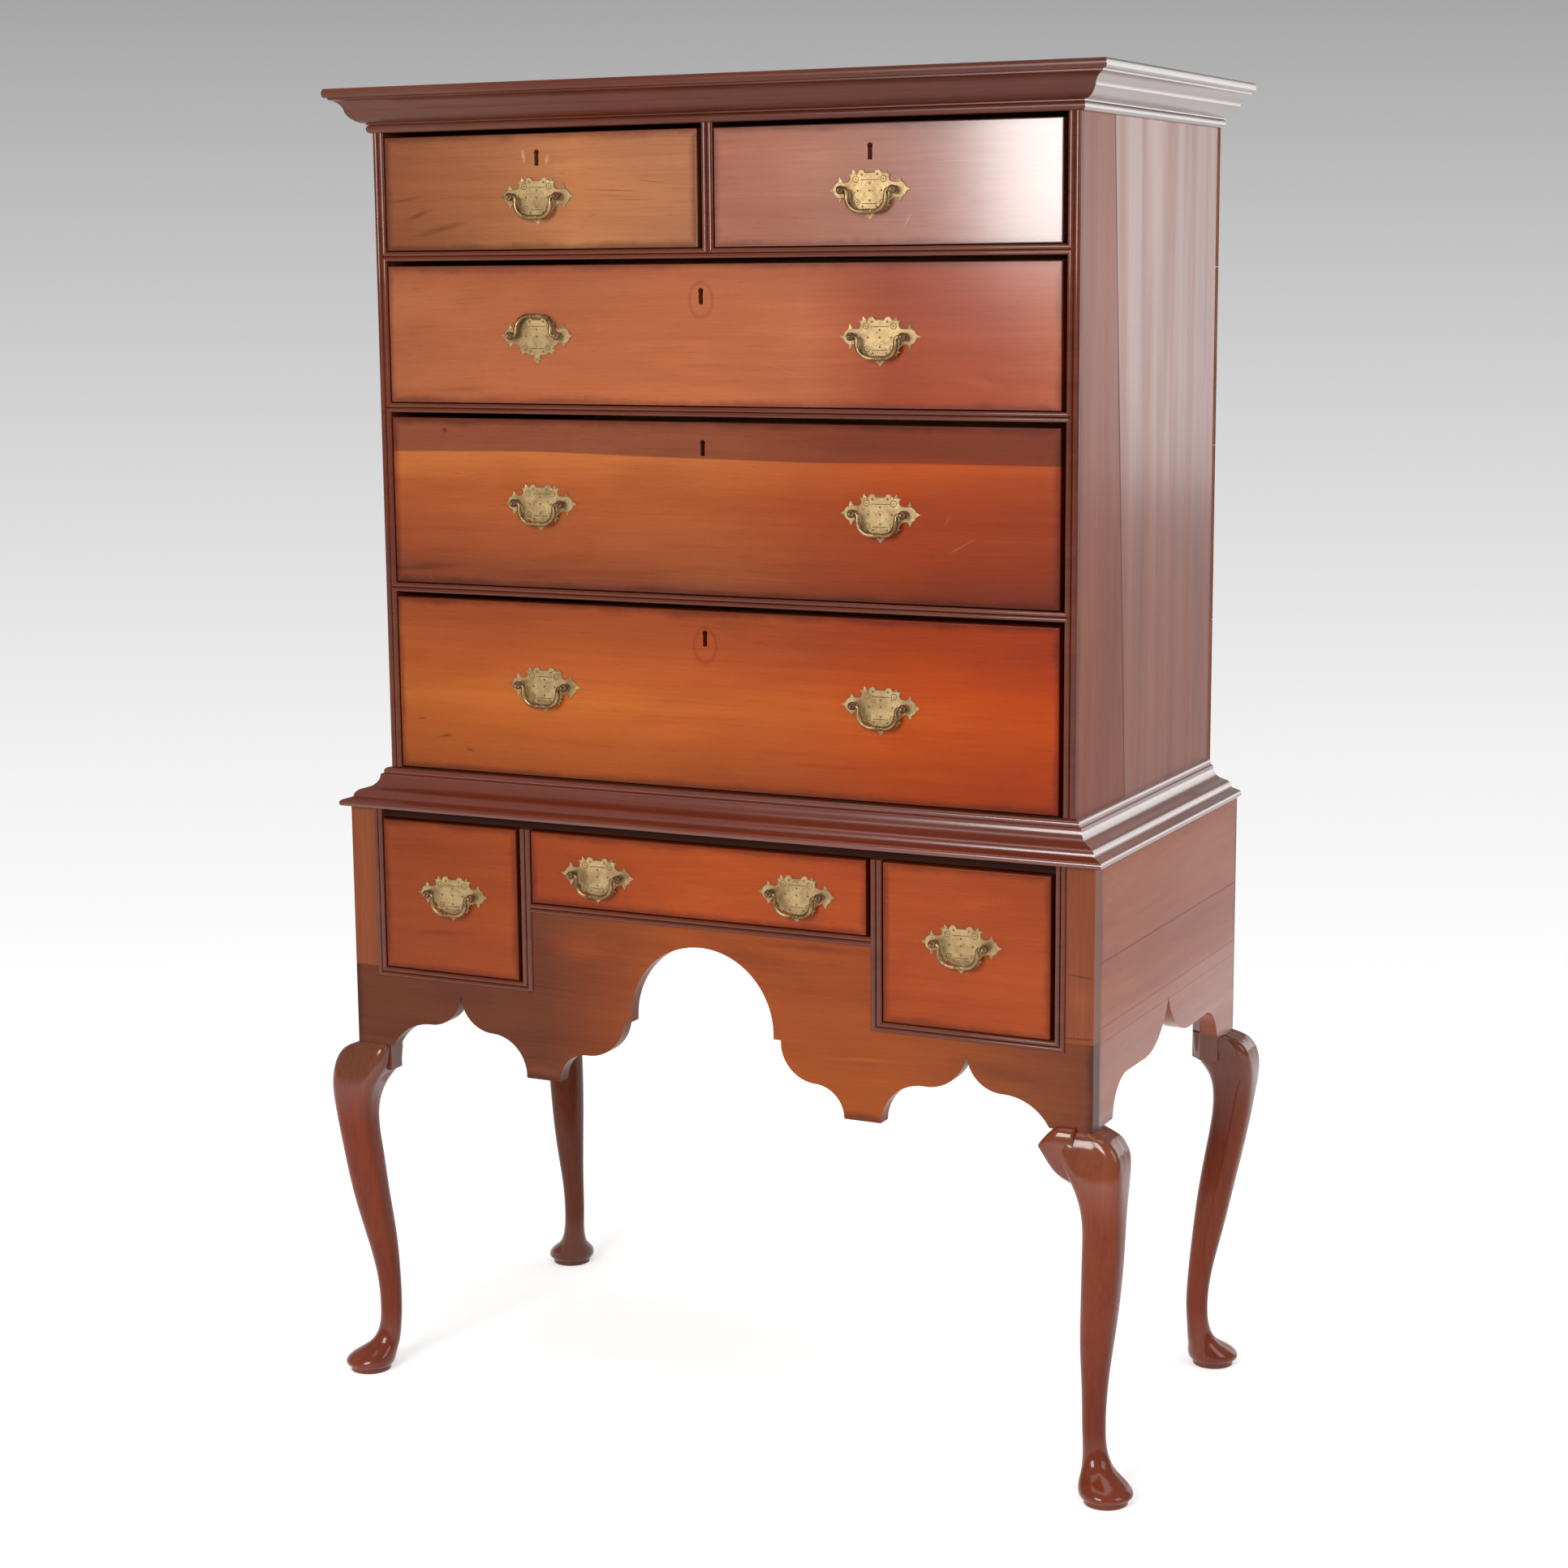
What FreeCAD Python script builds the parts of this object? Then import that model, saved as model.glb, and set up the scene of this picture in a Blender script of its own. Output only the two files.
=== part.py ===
"""Flat-top highboy: a chest of drawers on a lower case with four cabriole legs.

Millimetres. X runs to the right, Y to the back and Z up. The origin is on the floor, under the
middle of the lower case, so the front of the piece is its -Y side.
"""
import FreeCAD, Part
import math
import os
from FreeCAD import Vector

# ---------------------------------------------------------------- driving dimensions
# alias, value, what it is
SIZES = (
    ("upper_width", 914, "width of the upper case over its side boards"),
    ("upper_depth", 475, "depth of the upper case's side boards"),
    ("side_board", 15, "thickness of the upper case's sides"),
    ("setback", 38, "step from the lower case's faces in to the upper case's"),
    ("lower_depth", 520, "depth of the lower case"),
    ("lower_board", 20, "thickness of the lower case's boards"),
    ("back_board", 12, "thickness of the back boards"),
    ("board_joint", 0.8, "open joint between two back boards"),
    ("knee_top", 446, "height of the lower case's corners above the floor"),
    ("lower_top", 752, "height of the lower case's top edge"),
    ("deck", 12, "thickness of the lower case's top board"),
    ("deck_recess", 6, "deck's front edge behind the lower case's face"),
    ("waist_rise", 45, "height of the waist moulding"),
    ("waist_reach", 11, "waist moulding beyond the lower case's faces"),
    ("waist_short", 17, "waist moulding's ends short of the lower case's back"),
    ("floor_clear", 1.5, "upper case's floor above the waist moulding"),
    ("bottom_board", 20, "thickness of the upper case's bottom"),
    ("top_board", 12, "thickness of the upper case's top"),
    ("opening_3", 221, "height of the lowest long drawer's opening"),
    ("opening_2", 210, "height of the middle long drawer's opening"),
    ("opening_1", 171, "height of the top long drawer's opening"),
    ("opening_0", 142, "height of the short drawers' openings"),
    ("rail", 11.5, "thickness of the rails between drawers"),
    ("rail_depth", 70, "depth of the rails from front to back"),
    ("top_rail", 22, "thickness of the rail behind the cornice"),
    ("middle_stile", 15, "width of the upright between the short drawers"),
    ("cornice_rise", 52, "height of the cornice"),
    ("cornice_reach", 44, "cornice beyond the upper case's faces"),
    ("side_rail_top", 548, "height of the lower side drawers' openings"),
    ("centre_rail_top", 648, "height of the lower centre drawer's opening"),
    ("corner_stile", 46.5, "width of the lower case's corner stiles"),
    ("divider", 14.5, "width of the uprights between the lower drawers"),
    ("divider_depth", 40, "depth of those uprights"),
    ("divider_offset", 235, "dividers from the middle of the lower front"),
    ("front_shift", -7, "middle of the lower front, left of the case's middle"),
    ("partition", 12, "thickness of the boards between the lower drawers"),
    ("lower_back_bottom", 520, "height of the lower back board's bottom edge"),
    ("runner", 26, "width of the drawer runners"),
    ("guide_rise", 16, "height of the drawer guides above their runners"),
    ("bead_proud", 3.5, "height of the double-arch moulding"),
    ("bead_base", 0.8, "height at which its arches start"),
    ("corner_bead", 12.5, "width of the double-arch moulding on the corner stiles"),
    ("gap_left", 1.2, "gap at a drawer's left edge"),
    ("gap_right", 5.3, "gap at a drawer's right edge"),
    ("gap_below", 1, "gap under a drawer"),
    ("gap_above", 6, "gap over an upper drawer"),
    ("gap_deck", 2, "gap over a lower drawer"),
    ("front_proud", 1.5, "drawer fronts in front of the case's face"),
    ("front_board", 20, "thickness of the drawer fronts"),
    ("front_round", 1.6, "rounding of the drawer fronts' worn edges"),
    ("box_board", 10, "thickness of the drawers' sides and backs"),
    ("box_bottom", 7, "thickness of the drawers' bottoms"),
    ("box_raise", 6, "bottoms above the lower edges of the drawers' sides"),
    ("box_drop", 9, "drawers' sides below the top of the front"),
    ("stop_gap", 12, "gap behind a drawer's back"),
    ("key_head", 3.4, "radius of a keyhole's round head"),
    ("key_slot", 5.6, "width of a keyhole's slot"),
    ("key_length", 19, "height of a keyhole"),
    ("lock_width", 62, "width of a lock's case"),
    ("lock_height", 36, "height of a lock's case"),
    ("lock_depth", 11, "depth of a lock's case"),
    ("post_spacing", 64, "distance between a pull's two posts"),
    ("plate", 1.5, "thickness of a pull's backplate"),
    ("plate_reach", 50, "half width of a pull's backplate"),
    ("pin_height", 9.5, "height of a bail's axis over its backplate"),
    ("post_ball", 5, "radius of a post's ball"),
    ("post_shank", 2.2, "radius of a post's shank through the drawer front"),
    ("shank_clear", 0.4, "clearance round a shank"),
    ("bail_half", 24, "bail's legs from the middle of the pull"),
    ("bail_drop", 24, "bail's reach from its axis, on the rod's centre line"),
    ("bail_bend", 16, "radius of a bail's two bends"),
    ("bail_rod", 2.3, "radius of a bail's rod"),
    ("bail_pin", 1.6, "radius of a bail's pins"),
    ("pin_clear", 0.1, "clearance round a bail's pin"),
    ("bail_ring", 3.3, "radius of the rings at the middle of a bail"),
    ("bail_lean", 12, "degrees that a raised bail leans back"),
    ("arch_radius", 96.5, "radius of the skirt's middle arch"),
    ("arch_shift", -2.5, "arch's middle, left of the case's middle"),
    ("arch_spring", 517.5, "height of the arch's centre"),
    ("arch_step", 9.5, "width of the small step beside the arch"),
    ("step_height", 512, "height of that step"),
    ("lobe_height", 464, "height of the lobes beside the arch"),
    ("pendant_height", 426, "height of the pendants' flat ends"),
    ("pendant_width", 47, "width of the pendants' flat ends"),
    ("pendant_offset", 216.5, "pendants from the middle of the lower front"),
    ("pendant_cove", 39, "radius of the hollow on a pendant's inner side"),
    ("pendant_shelf", 477, "height of the skirt outside a pendant"),
    ("cusp_offset", 341, "skirt's outer cusps from the middle"),
    ("cusp_height", 522, "height of those cusps"),
    ("corner_lobe", 45, "width of the lobe beside a cusp"),
    ("corner_shelf", 479, "height of that lobe"),
    ("corner_cove", 65, "radius of the hollow towards a knee"),
    ("side_corner", 66, "side board's corner over a knee, front to back"),
    ("side_cove", 50, "radius of the hollow in a side's skirt"),
    ("side_shelf", 491, "height of the side's skirt at that hollow"),
    ("side_lobe", 82, "side lobe's middle from the side's middle"),
    ("side_lobe_height", 490, "height of the side lobes"),
    ("side_cusp", 545, "height of the cusp in the middle of a side"),
    ("leg_block", 45, "width of the square block on top of a leg"),
    ("block_bottom", 486, "height of that block's lower end, hidden by the skirt"),
    ("leg_seam", 1, "joint between a knee's stock and the boards over it"),
    ("leg_stock", 44, "width of the square stock that shows on a knee's inner sides"),
    ("stock_chamfer", 14, "how much of that stock's inner edge is planed off"),
    ("stock_bottom", 411, "height of that stock's lower end"),
    ("stock_inset", 6, "stock's start inside the case's faces"),
    ("foot_reach", 44.7, "reach of a front foot outside the case's side"),
    ("foot_disc", 26, "radius of the disc under a foot"),
    ("foot_disc_rise", 10, "height of that disc"),
)

# What follows from them: alias, formula, what it is
DERIVED = (
    ("upper_half", "=upper_width / 2", "upper case's outer face"),
    ("lower_half", "=upper_width / 2 + setback", "lower case's outer face"),
    ("opening_half", "=upper_half - side_board", "edge of the upper drawers' openings"),
    ("lower_inner", "=lower_half - lower_board", "inner face of the lower sides"),
    ("lower_front", "=-lower_depth / 2", "front face of the lower case"),
    ("lower_back", "=lower_depth / 2", "back face of the lower case"),
    ("upper_front", "=lower_front + setback", "front face of the upper case"),
    ("upper_back", "=upper_front + upper_depth", "back edge of the upper sides"),
    ("upper_floor", "=lower_top + waist_rise + floor_clear", "top of the upper case's bottom"),
    ("rail_3", "=upper_floor + opening_3", "underside of the third rail"),
    ("rail_2", "=rail_3 + rail + opening_2", "underside of the second rail"),
    ("rail_1", "=rail_2 + rail + opening_1", "underside of the first rail"),
    ("cornice_bottom", "=rail_1 + rail + opening_0", "underside of the cornice"),
    ("case_top", "=cornice_bottom + cornice_rise", "top of the highboy"),
    ("side_top", "=case_top - top_board", "top of the upper sides"),
    ("opening_lower", "=lower_half - corner_stile", "edge of the lower side drawers' openings"),
    ("divider_left", "=front_shift - divider_offset", "middle of the left divider"),
    ("divider_right", "=front_shift + divider_offset", "middle of the right divider"),
    ("deck_bottom", "=lower_top - deck", "underside of the lower case's top board"),
    ("skirt_back", "=lower_front + lower_board", "back face of the front skirt"),
    ("pin_stand", "=front_proud + plate + pin_height", "bail's axis in front of the case"),
)

# Drawers: name, which opening row, left and right ends of the opening, pulls, keyhole.
# pulls holds each pull's distance from the case's middle, rise its height over the front's middle.
UPPER_DRAWERS = (
    dict(name="short_left", bottom="rail_1", opening="opening_0", left="-opening_half",
         right="-middle_stile / 2", pulls=(-227,), rise=-6, key=-227, key_drop=28),
    dict(name="short_right", bottom="rail_1", opening="opening_0", left="middle_stile / 2",
         right="opening_half", pulls=(206,), rise=-6, key=206, key_drop=31),
    dict(name="long_top", bottom="rail_2", opening="opening_1", left="-opening_half",
         right="opening_half", pulls=(-231, 218), rise=-1, key=-10, key_drop=37),
    dict(name="long_middle", bottom="rail_3", opening="opening_2", left="-opening_half",
         right="opening_half", pulls=(-231, 218), rise=1, key=-10, key_drop=30),
    dict(name="long_bottom", bottom="upper_floor - rail", opening="opening_3",
         left="-opening_half", right="opening_half", pulls=(-231, 218), rise=6, key=-10,
         key_drop=33),
)
LOWER_DRAWERS = (
    dict(name="lower_left", sill="side_rail_top", left="-opening_lower",
         right="divider_left - divider / 2", pulls=(-347,), rise=6),
    dict(name="lower_centre", sill="centre_rail_top", left="divider_left + divider / 2",
         right="divider_right - divider / 2", pulls=(-140, 127), rise=-3),
    dict(name="lower_right", sill="side_rail_top", left="divider_right + divider / 2",
         right="opening_lower", pulls=(335,), rise=6),
)
RAISED_BAIL = "bail_long_top_left"

# Sections of a leg, from its knee down to its pad. height is a share of knee_top and power how
# square the section is. front and back, for the front and the back legs, are its reaches from the
# case's corner: outwards and inwards from the side, then outwards and inwards from the front or
# back.
LEG_SECTIONS = (
    dict(height=1.000, power=9.0, front=(1.0, 42.0, 1.0, 42.0), back=(1.0, 42.0, 1.0, 42.0)),
    dict(height=0.994, power=9.0, front=(7.0, 42.0, 3.5, 42.0), back=(7.0, 42.0, 3.5, 42.0)),
    dict(height=0.987, power=8.5, front=(15.0, 42.0, 6.5, 42.0), back=(15.0, 42.0, 6.5, 42.0)),
    dict(height=0.975, power=8.0, front=(23.0, 42.0, 9.0, 43.0), back=(23.0, 42.0, 9.0, 42.0)),
    dict(height=0.960, power=7.5, front=(28.5, 41.5, 11.0, 43.0), back=(28.5, 41.5, 11.5, 42.0)),
    dict(height=0.939, power=7.0, front=(33.0, 40.5, 13.0, 43.0), back=(32.0, 40.5, 14.0, 41.0)),
    dict(height=0.913, power=5.5, front=(36.0, 35.5, 15.5, 40.0), back=(34.0, 35.0, 17.0, 38.0)),
    dict(height=0.874, power=4.2, front=(37.5, 25.0, 18.0, 35.0), back=(33.5, 26.0, 20.5, 31.0)),
    dict(height=0.807, power=3.0, front=(36.5, 14.7, 17.3, 33.1), back=(29.5, 21.0, 22.5, 28.0)),
    dict(height=0.673, power=2.6, front=(32.0, 14.4, 8.7, 37.7), back=(20.7, 25.7, 13.2, 33.2)),
    dict(height=0.538, power=2.4, front=(25.1, 18.5, 0.0, 43.7), back=(10.3, 33.3, 0.8, 42.8)),
    dict(height=0.404, power=2.2, front=(15.0, 22.6, -12.2, 49.8), back=(-0.7, 38.3, -11.7, 49.3)),
    dict(height=0.269, power=2.0, front=(6.3, 23.3, -23.7, 53.3), back=(-12.7, 42.3, -22.2, 51.8)),
    dict(height=0.179, power=2.0, front=(4.6, 23.0, -26.0, 53.6), back=(-15.7, 43.3, -24.7, 52.3)),
    dict(height=0.117, power=2.0, front=(7.7, 21.7, -23.8, 53.2), back=(-12.8, 42.2, -22.3, 51.7)),
    dict(height=0.081, power=2.0, front=(15.9, 20.9, -16.1, 52.9), back=(-5.6, 42.4, -14.6, 51.4)),
    dict(height=0.059, power=2.0, front=(28.6, 20.6, -3.4, 52.6), back=(5.6, 43.6, -1.9, 51.1)),
    dict(height=0.039, power=2.0, front=(41.1, 20.1, 8.1, 53.1), back=(16.1, 45.1, 9.1, 52.1)),
    dict(height=0.026, power=2.0, front=(44.7, 18.9, 10.6, 53.0), back=(19.1, 44.5, 11.4, 51.7)),
    dict(height=0.017, power=2.0, front=(42.4, 16.6, 8.3, 50.7), back=(16.8, 42.2, 9.1, 49.4)),
)
SECTION_POINTS = 24

# Return that runs from the right front knee along under the skirt to a point. Each section has its
# distance in from the corner, height as a share of knee_top, half height, reach in front of the
# skirt and reach behind its face.
KNEE_RETURN = (
    (20, 0.932, 36.0, 11.0, 20.0),
    (36, 0.942, 30.5, 11.5, 20.0),
    (46, 0.948, 24.5, 11.5, 18.0),
    (53, 0.952, 16.5, 10.5, 14.0),
    (58.5, 0.955, 8.5, 9.5, 8.0),
    (62.5, 0.956, 2.0, 8.5, 1.0),
)
RETURN_POWER = 3.2

# Profiles of the two big mouldings, as (reach, rise) from the inner bottom edge. An entry of two
# points is an arc: the point that it passes through, and its end.
CORNICE_PROFILE = (
    (0, 0), (3, 0), ((6.3, 4.8), (3.6, 9.8)), (6, 10), (6, 11.5), ((17, 15.5), (24.5, 25)),
    ((29.5, 34.8), (38.5, 39)), (38.5, 41), (42.3, 41.4), ((44, 46.5), (42, 52)), (0, 52),
)
WAIST_PROFILE = (
    (0, 0), (47.6, 0), ((49, 4), (45.5, 7.6)), (36, 10.6), ((34, 16), (29.5, 19.4)),
    (24.5, 20.6), ((14.8, 26.2), (11, 37)), (7.6, 38.4), ((7.2, 42.6), (3.5, 45)), (0, 45),
)

# Right half of a pull's backplate, from its top middle to its bottom tip, as (across, up).
PLATE_OUTLINE = (
    (0, 19), (5.6, 19), ((10.2, 22.8), (14.8, 19.4)), (16.8, 18.2), (20.8, 22.8), (21.8, 18.6),
    (26.4, 17.2), ((24.2, 12.4), (28.5, 8.8)), (33.4, 8.6), (37.4, 14.4), (39.4, 8.8),
    (43.4, 6.4), (45, 3), (50, 0), (45, -3), (43.4, -6.4), (39.4, -8.8), (37.4, -14.4),
    (33.4, -8.8), ((24.4, -12.6), (22.6, -15.8)), (26.2, -17.6), (21.6, -18.8), (20.8, -22.8),
    (16.6, -19.4), ((10.5, -22.6), (4.6, -23)), (4.2, -25.4), (6, -27.2), (0, -33.5),
)

LEG_NAMES = (
    ("leg_front_left", -1, -1),
    ("leg_front_right", 1, -1),
    ("leg_back_left", -1, 1),
    ("leg_back_right", 1, 1),
)
UPPER_BACK_BOARDS = 4

doc = FreeCAD.newDocument("highboy")
nodes = []


# ---------------------------------------------------------------- document helpers
def fill_sheet():
    """Write the driving dimensions and what follows from them into the sheet named sizes."""
    sheet = doc.addObject("Spreadsheet::Sheet", "sizes")
    for row, (alias, value, note) in enumerate(SIZES + DERIVED, start=1):
        sheet.set(f"A{row}", note)
        sheet.set(f"B{row}", str(value))
        sheet.setAlias(f"B{row}", alias)
    doc.recompute()
    return sheet


sizes = fill_sheet()
ALIASES = sorted((row[0] for row in SIZES + DERIVED), key=len, reverse=True)


def size(alias):
    """One dimension of the sheet as a number."""
    return float(getattr(sizes, alias))


def bound(formula):
    """The formula with each alias written as a cell of the sheet."""
    words = str(formula).replace("(", " ( ").replace(")", " ) ").split()
    return " ".join(f"sizes.{word}" if word.lstrip("-") in ALIASES and word[0] != "-"
                    else f"-sizes.{word[1:]}" if word[1:] in ALIASES else word for word in words)


def bind(item, values):
    """Bind properties of an object to formulas in the sheet's aliases."""
    for name, formula in values.items():
        item.setExpression(name, bound(formula))


def board(name, x, y, z):
    """A rectangular board between three pairs of formulas."""
    item = doc.addObject("Part::Box", name)
    bind(item, {
        "Length": f"( {x[1]} ) - ( {x[0]} )", "Width": f"( {y[1]} ) - ( {y[0]} )",
        "Height": f"( {z[1]} ) - ( {z[0]} )", "Placement.Base.x": x[0],
        "Placement.Base.y": y[0], "Placement.Base.z": z[0],
    })
    return item


def group(name, items):
    """One node that holds several separate solids."""
    item = doc.addObject("Part::Compound", name)
    item.Links = items
    return keep(item, name)


def keep(item, name):
    """Name an object as a sub-part of the highboy."""
    item.Label = name
    nodes.append(item)
    return item


def shaped(name, shape, place=Vector(), turn=0):
    """A sub-part whose shape comes from Part's own functions, turned about X and then moved."""
    item = doc.addObject("Part::Feature", name)
    item.Shape = shape
    item.Placement = FreeCAD.Placement(place, FreeCAD.Rotation(Vector(1, 0, 0), turn))
    return keep(item, name)


def padded_board(name, plane, steps, length, reverse):
    """A board sawn to an outline: a sketch on one of the body's planes, padded."""
    body = doc.addObject("PartDesign::Body", name)
    sketch = body.newObject("Sketcher::SketchObject", f"{name}_outline")
    origin = next(item for item in body.Origin.OriginFeatures if item.Role == plane)
    sketch.AttachmentSupport = [(origin, "")]
    sketch.MapMode = "FlatFace"
    sketch.addGeometry(curves(steps, lambda a, b: Vector(a, b, 0)))
    pad = body.newObject("PartDesign::Pad", f"{name}_pad")
    pad.Profile = sketch
    pad.Reversed = reverse
    bind(pad, {"Length": length})
    body.Tip = pad
    return keep(body, name)


# ---------------------------------------------------------------- outline helpers
def curves(steps, place, scale=(1, 1)):
    """Lines and arcs of a closed run of steps, each a point or an arc's two further points."""
    def spot(point):
        return place(point[0] * scale[0], point[1] * scale[1])

    run = []
    here = spot(steps[0])
    for step in steps[1:]:
        if isinstance(step[0], tuple):
            end = spot(step[1])
            run.append(Part.Arc(here, spot(step[0]), end))
        else:
            end = spot(step)
            run.append(Part.LineSegment(here, end))
        here = end
    if here.distanceToPoint(spot(steps[0])) > 1e-6:
        run.append(Part.LineSegment(here, spot(steps[0])))
    return run


def outline(steps, place, scale=(1, 1)):
    """Closed wire through steps."""
    return Part.Wire([curve.toShape() for curve in curves(steps, place, scale)])


def prism(points, axis, start, end):
    """Straight prism over a polygon given in the two other axes."""
    places = {"x": lambda a, b: Vector(start, a, b), "y": lambda a, b: Vector(a, start, b),
              "z": lambda a, b: Vector(a, b, start)}
    runs = {"x": Vector(end - start, 0, 0), "y": Vector(0, end - start, 0),
            "z": Vector(0, 0, end - start)}
    wire = Part.makePolygon([places[axis](*point) for point in points + points[:1]])
    return Part.Face(wire).extrude(runs[axis])


def quarter(start, end, upright_first):
    """Arc from start to end that sets out upright or level and arrives the other way."""
    centre = (end[0], start[1]) if upright_first else (start[0], end[1])
    share = math.sqrt(0.5)
    middle = tuple(centre[i] + share * (start[i] + end[i] - 2 * centre[i]) for i in (0, 1))
    return (middle, end)


# ---------------------------------------------------------------- lower case
def skirt_side(side):
    """Scrolled edge of the front skirt on one side, from the arch out to the corner."""
    arch_x = size("arch_shift") + side * size("arch_radius")
    step_x = arch_x + side * size("arch_step")
    pendant = size("front_shift") + side * size("pendant_offset")
    inner = pendant - side * size("pendant_width") / 2
    outer = pendant + side * size("pendant_width") / 2
    cusp = (side * size("cusp_offset"), size("cusp_height"))
    shelf_x = (outer + cusp[0]) / 2
    lobe_x = cusp[0] + side * size("corner_lobe")
    cove = size("corner_cove")
    cove_drop = size("corner_shelf") - size("knee_top")
    cove_run = math.sqrt(cove ** 2 - (cove - cove_drop) ** 2)
    half_turn = math.atan2(cove_run, cove - cove_drop) / 2
    corner_middle = (lobe_x + side * cove * math.sin(half_turn),
                     size("corner_shelf") - cove * (1 - math.cos(half_turn)))
    lobe_end = (inner - side * size("pendant_cove"), size("lobe_height"))
    return [
        (arch_x, size("step_height")),
        (step_x, size("step_height")),
        quarter((step_x, size("step_height")), lobe_end, True),
        quarter(lobe_end, (inner, size("pendant_height")), False),
        (outer, size("pendant_height")),
        quarter((outer, size("pendant_height")), (shelf_x, size("pendant_shelf")), True),
        quarter((shelf_x, size("pendant_shelf")), cusp, False),
        quarter(cusp, (lobe_x, size("corner_shelf")), True),
        (corner_middle, (lobe_x + side * cove_run, size("knee_top"))),
    ]


def front_skirt_steps():
    """Whole outline of the front skirt: scrolled below, stepped up between the dividers."""
    arch_left = size("arch_shift") - size("arch_radius")
    arch_right = size("arch_shift") + size("arch_radius")
    spring = size("arch_spring")
    right = skirt_side(1)
    inner_left = size("divider_left") + size("divider") / 2
    inner_right = size("divider_right") - size("divider") / 2
    side_top = size("side_rail_top")
    centre_top = size("centre_rail_top")
    steps = [(arch_left, spring),
             ((size("arch_shift"), spring + size("arch_radius")), (arch_right, spring))]
    steps += right
    steps += [(size("lower_half"), size("knee_top")), (size("lower_half"), side_top),
              (inner_right, side_top), (inner_right, centre_top), (inner_left, centre_top),
              (inner_left, side_top), (-size("lower_half"), side_top),
              (-size("lower_half"), size("knee_top"))]
    return steps + reversed_steps(skirt_side(-1))


def reversed_steps(steps):
    """The same run of points and arcs walked the other way."""
    ends = [step[1] if isinstance(step[0], tuple) else step for step in steps]
    back = [ends[-1]]
    for i in range(len(steps) - 1, 0, -1):
        back.append((steps[i][0], ends[i - 1]) if isinstance(steps[i][0], tuple) else ends[i - 1])
    return back


def side_steps():
    """Outline of a lower side board, as (depth, height), scrolled along its bottom edge."""
    front = size("skirt_back")
    back = size("lower_back")
    corner = size("lower_back") - size("side_corner")
    shelf = corner - size("side_cove")
    lobe = size("side_lobe")
    low = size("side_lobe_height")
    rise = size("side_cusp") - low
    radius = (lobe ** 2 + rise ** 2) / (2 * rise)
    half_turn = math.asin(lobe / radius) / 2
    lobe_middle = (lobe - radius * math.sin(half_turn), low + radius * (1 - math.cos(half_turn)))
    knee = size("knee_top")
    half = [(corner, knee), quarter((corner, knee), (shelf, size("side_shelf")), True),
            (lobe, low), (lobe_middle, (0, size("side_cusp")))]
    mirrored = [((-a[0], a[1]), (-b[0], b[1])) if isinstance(a, tuple) else (-a, b)
                for a, b in half]
    return ([(back, size("lower_top")), (back, knee)] + half + reversed_steps(mirrored)[1:]
            + [(front, knee), (front, size("lower_top"))])


def lower_case():
    """Skirt, uprights, sides, back, top board and supports of the lower case."""
    skirt = padded_board("front_skirt", "XZ_Plane", front_skirt_steps(), "lower_board", True)
    bind(skirt, {"Placement.Base.y": "lower_front"})
    for name, side in (("lower_side_left", -1), ("lower_side_right", 1)):
        panel = padded_board(name, "YZ_Plane", side_steps(), "lower_board", False)
        bind(panel, {"Placement.Base.x": "-lower_half" if side < 0 else "lower_inner"})
    depth = ("lower_front", "skirt_back")
    tall = ("side_rail_top", "lower_top")
    group("front_uprights", [
        board("stile_left", ("-lower_half", "-opening_lower"), depth, tall),
        board("stile_right", ("opening_lower", "lower_half"), depth, tall),
    ] + [
        board(f"upright_{word}", (f"divider_{word} - divider / 2", f"divider_{word} + divider / 2"),
              ("lower_front", "lower_front + divider_depth"), ("side_rail_top", "deck_bottom"))
        for word in ("left", "right")
    ])
    keep(board("lower_back", ("-lower_inner", "lower_inner"), ("lower_back - lower_board",
               "lower_back"), ("lower_back_bottom", "deck_bottom")), "lower_back")
    keep(board("lower_top_board", ("-opening_lower", "opening_lower"),
               ("lower_front + deck_recess", "lower_back"), ("deck_bottom", "lower_top")),
         "lower_top_board")


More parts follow.
